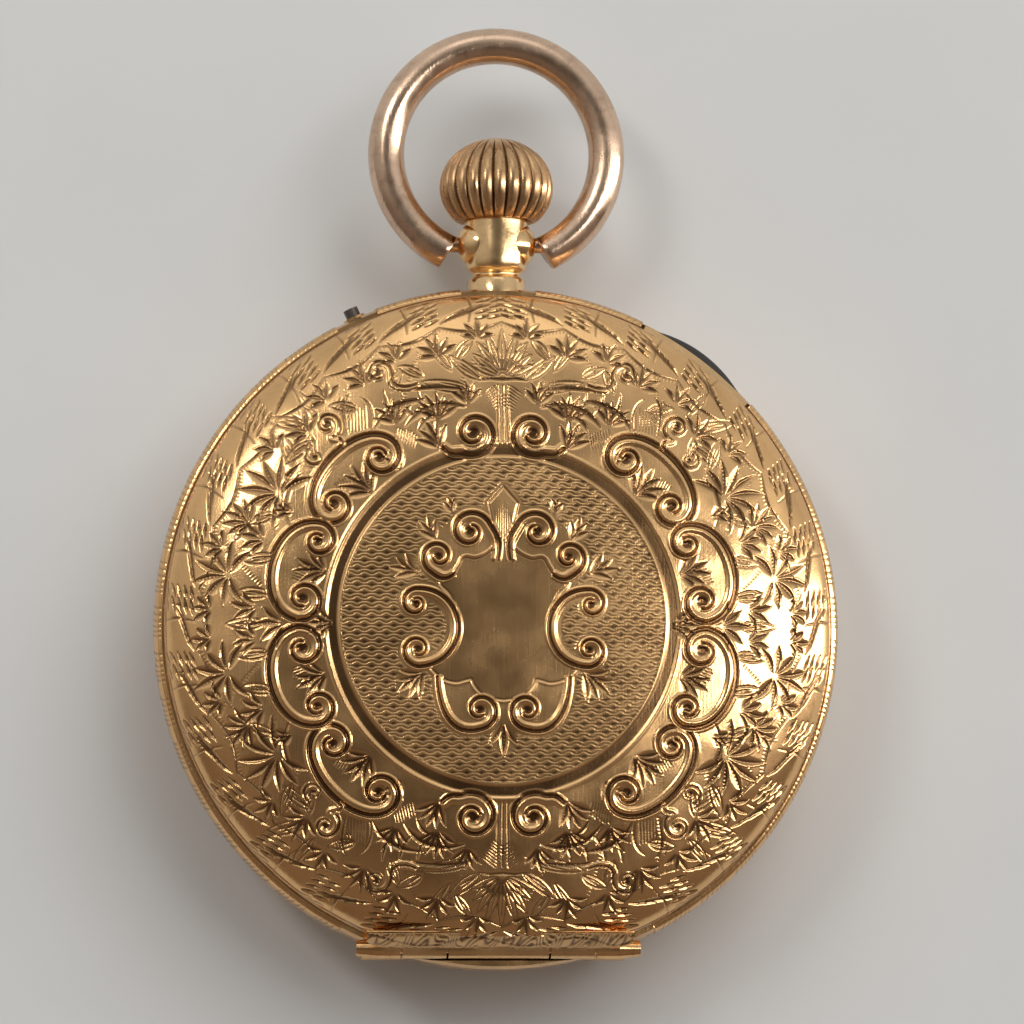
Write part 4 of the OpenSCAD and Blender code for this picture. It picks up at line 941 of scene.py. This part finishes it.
def hinge_apron():
    """The back's lower edge, drawn down over the hinge knuckles it turns with."""
    prof = smooth_profile([(-14.74, 8.30), (-14.98, 8.05), (-15.2, 7.70), (-15.36, 7.36), (-15.44, 7.12)], 7)
    n, m = len(prof), 300
    X = np.linspace(-6.35, 6.35, m)
    d = np.gradient(prof, axis=0)
    d /= np.linalg.norm(d, axis=1, keepdims=True)
    nrm = np.stack([-d[:, 1], d[:, 0]], -1)
    nrm *= np.sign(nrm[:, 1:2] + 1e-9)
    S = np.cumsum(np.r_[0, np.linalg.norm(np.diff(prof, axis=0), axis=1)])
    verts, att = [], []
    for j, x in enumerate(X):
        # the corners of the apron are rounded off towards the case's curve
        drop = 1.0 - max(0.0, (abs(x) - 5.0) / 1.35) ** 2 * 0.55
        for i in range(n):
            u = S[i] / S[-1]
            zz = abs(((x * 0.42 + 0.3) % 2.0) - 1.0)
            f = (x * 1.15 + 2.4 * u * (zz - 0.5) + 0.5 * math.sin(x * 2.7) + 0.35 * math.sin(x * 6.1 + 3 * u)) % 0.55
            c = max(0.0, 1 - abs(f - 0.27) / 0.17) * math.sin(math.pi * min(1, u * 1.05)) ** 0.6
            c = min(1.0, c + 0.55 * max(0.0, 1 - abs(u - 0.5 - 0.3 * math.sin(x * 1.3)) / 0.09))
            k = i if drop >= 1 else u * drop * (n - 1)
            k0 = min(int(k), n - 2)
            p = prof[k0] + (prof[k0 + 1] - prof[k0]) * (k - k0)
            q = nrm[k0] * (0.02 - 0.07 * c)
            verts.append((x, p[0] + q[0], p[1] + q[1])); att.append(min(1.0, 0.25 + 0.85 * c))
    for j, x in enumerate(X):
        drop = 1.0 - max(0.0, (abs(x) - 5.0) / 1.35) ** 2 * 0.55
        for i in range(n):
            k = (S[i] / S[-1]) * drop * (n - 1)
            k0 = min(int(k), n - 2)
            p = prof[k0] + (prof[k0 + 1] - prof[k0]) * (k - k0)
            verts.append((x, p[0] - nrm[k0][0] * 0.13, p[1] - nrm[k0][1] * 0.13)); att.append(0)
    B = m * n
    faces = grid_faces(m, n, 0, wrap=False, flip=False) + grid_faces(m, n, B, wrap=False, flip=True)
    for j in range(m - 1):
        a, b = j * n, (j + 1) * n
        faces.append((a, b, B + b, B + a)[::-1])
        faces.append((a + n - 1, b + n - 1, B + b + n - 1, B + a + n - 1))
    for i in range(n - 1):
        faces.append((i, i + 1, B + i + 1, B + i))
        a = (m - 1) * n
        faces.append((a + i, a + i + 1, B + a + i + 1, B + a + i)[::-1])
    return make_mesh("hinge_apron", verts, faces, M["engraved"], "back", attr=att)


hinge_apron()

def band_arc(name, a0, a1, mat, hatched=True, crescent=False):
    """A thin engraved skin over the upper shoulder of the case band, from angle a0 to a1."""
    prof = smooth_profile([(16.15, 6.47), (16.28, 6.44), (16.39, 6.33), (16.475, 6.12), (16.525, 5.78), (16.535, 5.35), (16.54, 4.9)], 3)
    n = len(prof)
    m = max(24, int((a1 - a0) / 0.17))
    S = np.cumsum(np.r_[0, np.linalg.norm(np.diff(prof, axis=0), axis=1)])
    d = np.gradient(prof, axis=0)
    d /= np.linalg.norm(d, axis=1, keepdims=True)
    nrm = np.stack([-d[:, 1], d[:, 0]], -1)
    verts, att = [], []
    for layer in (0, 1):
        for j in range(m):
            a = a0 + (a1 - a0) * j / (m - 1)
            ca, sa = math.cos(math.radians(a)), math.sin(math.radians(a))
            e = min(a - a0, a1 - a) / (a1 - a0) * 2
            for i in range(n):
                u = S[i] / S[-1]
                c = 0.0
                if hatched:
                    g_ = (a * 1.05 + 1.3 * u + 0.25 * math.sin(a * 0.9)) % 1.0
                    gate = 1.0 if (a * 0.13 + 0.2 * u) % 1.0 < 0.78 else 0.0
                    c = gate * max(0.0, 1 - abs(g_ - 0.5) / 0.20) * min(1.0, 4 * u + 0.1)
                off = (0.012 - 0.045 * c) if layer == 0 else -0.06
                r, z = prof[i] + nrm[i] * off
                if crescent:
                    r = 16.07 + (r - 16.05) * 1.38 * max(0.03, math.sin(math.pi * min(max(e, 0) / 2, 0.5)) ** 0.7)
                verts.append((r * ca, r * sa, z)); att.append(0.85 * c if layer == 0 else 0.0)
    B = m * n
    faces = grid_faces(m, n, 0, wrap=False, flip=False) + grid_faces(m, n, B, wrap=False, flip=True)
    for j in range(m - 1):
        a, b = j * n, (j + 1) * n
        faces.append((a, b, B + b, B + a)[::-1])
        faces.append((a + n - 1, b + n - 1, B + b + n - 1, B + a + n - 1))
    for i in range(n - 1):
        faces.append((i, i + 1, B + i + 1, B + i))
        a = (m - 1) * n
        faces.append((a + i, a + i + 1, B + a + i + 1, B + a + i)[::-1])
    return make_mesh(name, verts, faces, mat, "case", attr=att)


band_arc("band_engraving_left", 118.6, 242.6, M["engraved"])
band_arc("band_engraving_top_left", 96.4, 111.2, M["engraved"])
band_arc("band_engraving_top_right", 64.6, 83.6, M["engraved"])
band_arc("thumb_slot_shadow", 41.4, 64.6, M["slot"], hatched=False, crescent=True)
band_arc("band_engraving_right", -62.6, 41.4, M["engraved"])

# ------------------------------------------------------------------ crown, neck, bow
FL = 24
ang_ = np.radians(np.linspace(-43, 88, 66))
ball = np.stack([2.78 * np.cos(ang_), 21.55 + np.where(ang_ > 0, 2.45, 2.34) * np.sin(ang_)], -1)
cprof = np.vstack([[0.52, 20.4], [1.64, 20.4], [1.64, 20.0], [1.68, 19.93], [1.78, 19.89], [1.93, 19.90], ball, [[0, 24.0]]])


def flutes(r, y, th):
    e = float(np.clip((r - 0.75) / 1.0, 0, 1)) if y > 20.6 else float(np.clip((r - 1.66) / 0.3, 0, 1))
    lobe = np.abs(np.cos(th * FL / 2))
    return r - 0.25 * e * (1 - lobe ** 0.55), e * np.clip(1 - lobe * 2.2, 0, 1)


cv, cf, ca = lathe_y(cprof, 24 * 20, flutes)
# the bore that the stem sits in
bv, bf, ba = lathe_y(np.vstack([[0.52, 20.4], [0.52, 22.6], [0, 22.6]]), 24 * 20)
first = len(cv)
bf = [tuple(int(i) if i < 480 else int(i) - 480 + first for i in f)[::-1] for f in bf]
crown_v = np.vstack([cv, bv[480:]])
rows0 = [f for f in cf if not (max(f) >= len(cv))]
# the turned profile is open between its first ring and its tip, so drop the wrap faces back to the start
n_first = 480
tip = len(cv) - 1
cf = [f for f in cf if not (tip in f and min(f) < n_first)]
crown = make_mesh("crown_fluted", crown_v, cf + bf, M["crown"], "stem", ["crown"],
                  attr=list(ca) + list(ba[480:]))

nprof = smooth_profile([(1.4, 16.95), (1.32, 17.06), (1.19, 17.14), (1.17, 17.26), (1.27, 17.38), (1.42, 17.5), (1.49, 17.72),
                        (1.515, 18.1), (1.52, 18.8), (1.52, 19.6), (1.515, 20.0), (1.47, 20.2), (1.36, 20.26)], 6)
nprof = np.vstack([[0.57, 15.2], [1.4, 15.2], [1.4, 16.2], nprof, [[1.0, 20.26], [0.57, 20.25], [0.57, 19.0], [0.57, 17.0]]])
nv, nf, na = lathe_y(nprof, 128)
neck = make_mesh("neck", nv, nf, M["neck"], "case", ["pendant"])


def dome_boss(s):
    """Rounded side boss that the bow's pin enters."""
    rows, cols = 26, 64
    verts = []
    for i in range(rows):
        t = i / (rows - 1) * math.radians(86)
        rr, xx = 1.25 * math.cos(t), 0.7 + 1.25 * math.sin(t)
        for j in range(cols):
            a = j * 2 * math.pi / cols
            verts.append((s * xx, 18.75 + rr * math.cos(a), 5 + rr * math.sin(a)))
    faces = grid_faces(rows, cols, 0, flip=(s < 0))
    faces.append(tuple(range(cols))[::1 if s < 0 else -1])
    faces.append(tuple(range((rows - 1) * cols, rows * cols))[::-1 if s < 0 else 1])
    return make_mesh(f"bow_boss_{'right' if s > 0 else 'left'}", verts, faces, M["neck"], "case")


dome_boss(1), dome_boss(-1)


def bow_piece():
    a0, R, w = 25.5, 5.39, 0.875
    verts, faces, na_, nc = [], [], 300, 56
    A = np.radians(np.linspace(-90 + a0, 270 - a0, na_))
    # rounded edge of the cut ends
    ext = [(0.0, 0.94), (0.015, 0.975), (0.04, 0.995)]
    rings = [(A[0] + e / R, w * s) for e, s in ext] + [(a, w) for a in A[3:-3]] + [(A[-1] - e / R, w * s) for e, s in ext[::-1]]
    for a, rad in rings:
        for j in range(nc):
            b = j * 2 * math.pi / nc
            q = R + rad * math.cos(b)
            end = 1 if a < A[0] + 0.12 else (-1 if a > A[-1] - 0.12 else 0)
            a_ = a + end * 0.15 * (q - R) / q * max(0.0, 1 - min(a - A[0], A[-1] - a) / 0.12)
            verts.append((q * math.cos(a_), 23.2 + q * math.sin(a_), 5 + rad * math.sin(b)))
    faces += grid_faces(len(rings), nc, 0, flip=True)
    faces.append(tuple(range(nc)))
    faces.append(tuple(range((len(rings) - 1) * nc, len(rings) * nc))[::-1])
    for s in (-1, 1):                       # pivot pins
        b0 = len(verts)
        for x in (1.05, 1.1, 2.7, 2.75):
            for j in range(32):
                b = j * 2 * math.pi / 32
                rr = 0.38 if x in (1.1, 2.7) else 0.34
                verts.append((s * x, 18.75 + rr * math.cos(b), 5 + rr * math.sin(b)))
        faces += grid_faces(4, 32, b0, flip=(s < 0))
        faces.append(tuple(range(b0, b0 + 32))[::1 if s < 0 else -1])
        faces.append(tuple(range(b0 + 96, b0 + 128))[::-1 if s < 0 else 1])
    return make_mesh("bow_ring", verts, faces, M["bow"], "bow", ["bow"])


bow_piece()

# ------------------------------------------------------------------ dial markings
dv, df = [], []


def block(cx, cy, w, h, ang, skew=0.0, z0=2.545, z1=2.605):
    """A thin raised bar on the dial. x to the right and y up as the dial is read, before turning by ang."""
    b = len(dv)
    c, s = math.cos(ang), math.sin(ang)
    for z in (z0, z1):
        for px, py in ((-w / 2 - skew / 2, -h / 2), (w / 2 - skew / 2, -h / 2), (w / 2 + skew / 2, h / 2), (-w / 2 + skew / 2, h / 2)):
            X, Y = cx + px, cy + py
            xr, yr = X * c + Y * s, -X * s + Y * c          # clockwise as read
            dv.append((-xr, yr, z))                        # the dial faces -Z, so right is -X
    for f in ((0, 3, 2, 1), (4, 5, 6, 7), (0, 1, 5, 4), (1, 2, 6, 5), (2, 3, 7, 6), (3, 0, 4, 7)):
        df.append(tuple(b + i for i in f))


NUM = ["XII", "I", "II", "III", "IIII", "V", "VI", "VII", "VIII", "IX", "X", "XI"]
WID = {"I": 0.58, "V": 1.12, "X": 1.16}
HT, RN = 1.95, 9.15
for k, txt in enumerate(NUM):
    ang = math.radians(30 * k)
    tot = sum(WID[c] for c in txt)
    x = -tot / 2
    for c in txt:
        m = x + WID[c] / 2
        if c == "I":
            block(m, RN, 0.26, HT, ang)
            ser = [(m, 0.46)]
        elif c == "V":
            block(m - 0.21, RN, 0.28, HT, ang, skew=-0.42)
            block(m + 0.21, RN, 0.09, HT, ang, skew=0.42)
            ser = [(m - 0.36, 0.44), (m + 0.38, 0.34)]
        else:
            block(m, RN, 0.28, HT, ang, skew=-0.66)
            block(m, RN, 0.09, HT, ang, skew=0.66)
            ser = [(m - 0.33, 0.42), (m + 0.33, 0.36)]
        for sx, sw in ser:
            block(sx, RN + HT / 2 - 0.04, sw, 0.08, ang)
            if c != "V":
                block(sx, RN - HT / 2 + 0.04, sw, 0.08, ang)
        x += WID[c]
for k in range(60):
    big = k % 5 == 0
    block(0, 11.0, 0.17 if big else 0.07, 0.44, math.radians(6 * k))
make_mesh("dial_numerals", dv, df, M["ink"], "case", smooth=False)
tv, tf = [], []
for rr in (10.78, 11.22):
    b, n = len(tv), 360
    for z, r in ((2.55, rr - 0.025), (2.55, rr + 0.025), (2.605, rr + 0.025), (2.605, rr - 0.025)):
        for j in range(n):
            a = j * 2 * math.pi / n
            tv.append((r * math.cos(a), r * math.sin(a), z))
    for k in range(4):
        for j in range(n):
            j2, k2 = (j + 1) % n, (k + 1) % 4
            tf.append((b + k * n + j, b + k2 * n + j, b + k2 * n + j2, b + k * n + j2))
make_mesh("dial_minute_track", tv, tf, M["ink"], "case", smooth=False)

# ------------------------------------------------------------------ floor, light, camera
fm, nt, b = new_mat("pale_floor")
tc = nt.nodes.new("ShaderNodeTexCoord")
n = nt.nodes.new("ShaderNodeTexNoise"); n.inputs["Scale"].default_value = 60; n.inputs["Detail"].default_value = 6
nt.links.new(tc.outputs["Object"], n.inputs["Vector"])
r = nt.nodes.new("ShaderNodeValToRGB")
r.color_ramp.elements[0].color = (0.725, 0.75, 0.765, 1); r.color_ramp.elements[0].position = 0.3
r.color_ramp.elements[1].color = (0.765, 0.79, 0.805, 1); r.color_ramp.elements[1].position = 0.7
nt.links.new(n.outputs["Fac"], r.inputs[0]); nt.links.new(r.outputs[0], b.inputs["Base Color"])
b.inputs["Roughness"].default_value = 0.75
me = bpy.data.meshes.new("floor")
me.from_pydata([(-1, -1, -2e-5), (1, -1, -2e-5), (1, 1, -2e-5), (-1, 1, -2e-5)], [], [(0, 1, 2, 3)])
me.materials.append(fm)
floor = bpy.data.objects.new("floor", me)
bpy.context.scene.collection.objects.link(floor)

world = bpy.data.worlds.new("studio")
bpy.context.scene.world = world
world.use_nodes = True
wn, wl = world.node_tree.nodes, world.node_tree.links
wn.clear()
out = wn.new("ShaderNodeOutputWorld"); bg = wn.new("ShaderNodeBackground")
wl.new(bg.outputs[0], out.inputs[0])
tc = wn.new("ShaderNodeTexCoord")
sep = wn.new("ShaderNodeSeparateXYZ"); wl.new(tc.outputs["Generated"], sep.inputs[0])


def ramp(src, stops, scale=0.5, add=0.5):
    ma = wn.new("ShaderNodeMath"); ma.operation = "MULTIPLY_ADD"
    ma.inputs[1].default_value = scale; ma.inputs[2].default_value = add
    wl.new(src, ma.inputs[0])
    r = wn.new("ShaderNodeValToRGB")
    el = r.color_ramp.elements
    while len(el) < len(stops):
        el.new(0.5)
    for e, (p, c) in zip(el, stops):
        e.position, e.color = p, (*c, 1)
    wl.new(ma.outputs[0], r.inputs[0])
    return r.outputs[0]


ry = ramp(sep.outputs["Y"], [(0.0, (0.30, 0.22, 0.17)), (0.36, (0.34, 0.27, 0.22)), (0.50, (0.62, 0.57, 0.52)),
                             (0.66, (0.95, 0.93, 0.90)), (1.0, (1.0, 1.0, 0.98))])
rz = ramp(sep.outputs["Z"], [(0.0, (0.9, 0.9, 0.9)), (0.72, (1, 1, 1)), (0.88, (0.72, 0.72, 0.72)), (0.95, (0.42, 0.42, 0.42)),
                             (0.985, (0.32, 0.31, 0.29)), (1.0, (0.27, 0.262, 0.245))], 1.0, 0.0)
mulc = wn.new("ShaderNodeMix"); mulc.data_type = "RGBA"; mulc.blend_type = "MULTIPLY"
mulc.inputs["Factor"].default_value = 1.0
wl.new(ry, mulc.inputs[6]); wl.new(rz, mulc.inputs[7])
wl.new(mulc.outputs[2], bg.inputs["Color"])
bg.inputs["Strength"].default_value = 0.64


def area(name, loc, size, power, color=(1, 1, 1), target=(0, 0, 0.005), sy=None):
    li = bpy.data.lights.new(name, "AREA")
    li.shape = "RECTANGLE"; li.size = size; li.size_y = sy or size
    li.energy = power; li.color = color
    o = bpy.data.objects.new(name, li)
    o.location = loc
    d = Vector(target) - Vector(loc)
    o.rotation_euler = d.to_track_quat("-Z", "Y").to_euler()
    bpy.context.scene.collection.objects.link(o)
    return o


key = area("key", (0.28, 0.36, 0.52), 0.56, 2.1, (1.0, 0.98, 0.95))
key.visible_glossy = False
strip = area("side_strip", (0.372, 0.03, 0.246), 0.09, 1.75, (1.0, 0.98, 0.95), sy=0.66)
strip.visible_diffuse = False
area("top_soft", (0.03, 0.48, 0.37), 0.36, 0.16, (1.0, 0.98, 0.95), sy=0.24)
area("left_spot", (-0.212, 0.185, 0.356), 0.07, 0.27, (1.0, 0.97, 0.92), sy=0.13)

cam_d = bpy.data.cameras.new("camera")
cam = bpy.data.objects.new("camera", cam_d)
bpy.context.scene.collection.objects.link(cam)
bpy.context.scene.camera = cam
back = Vector((-0.0762, -0.1067, 1.0)).normalized()
target = Vector((0.80e-3, 5.72e-3, 4.6e-3))
right = Vector((0, 1, 0)).cross(back).normalized()
up = back.cross(right)
cam.matrix_world = Matrix((( right.x, up.x, back.x, 0), (right.y, up.y, back.y, 0), (right.z, up.z, back.z, 0), (0, 0, 0, 1)))
cam.location = target + back * 0.25
cam_d.sensor_width = 36
cam_d.lens = 18 * 250 / 24.87
cam_d.clip_start, cam_d.clip_end = 0.001, 10
cam_d.dof.use_dof = False
bpy.context.scene.view_settings.view_transform = "Standard"
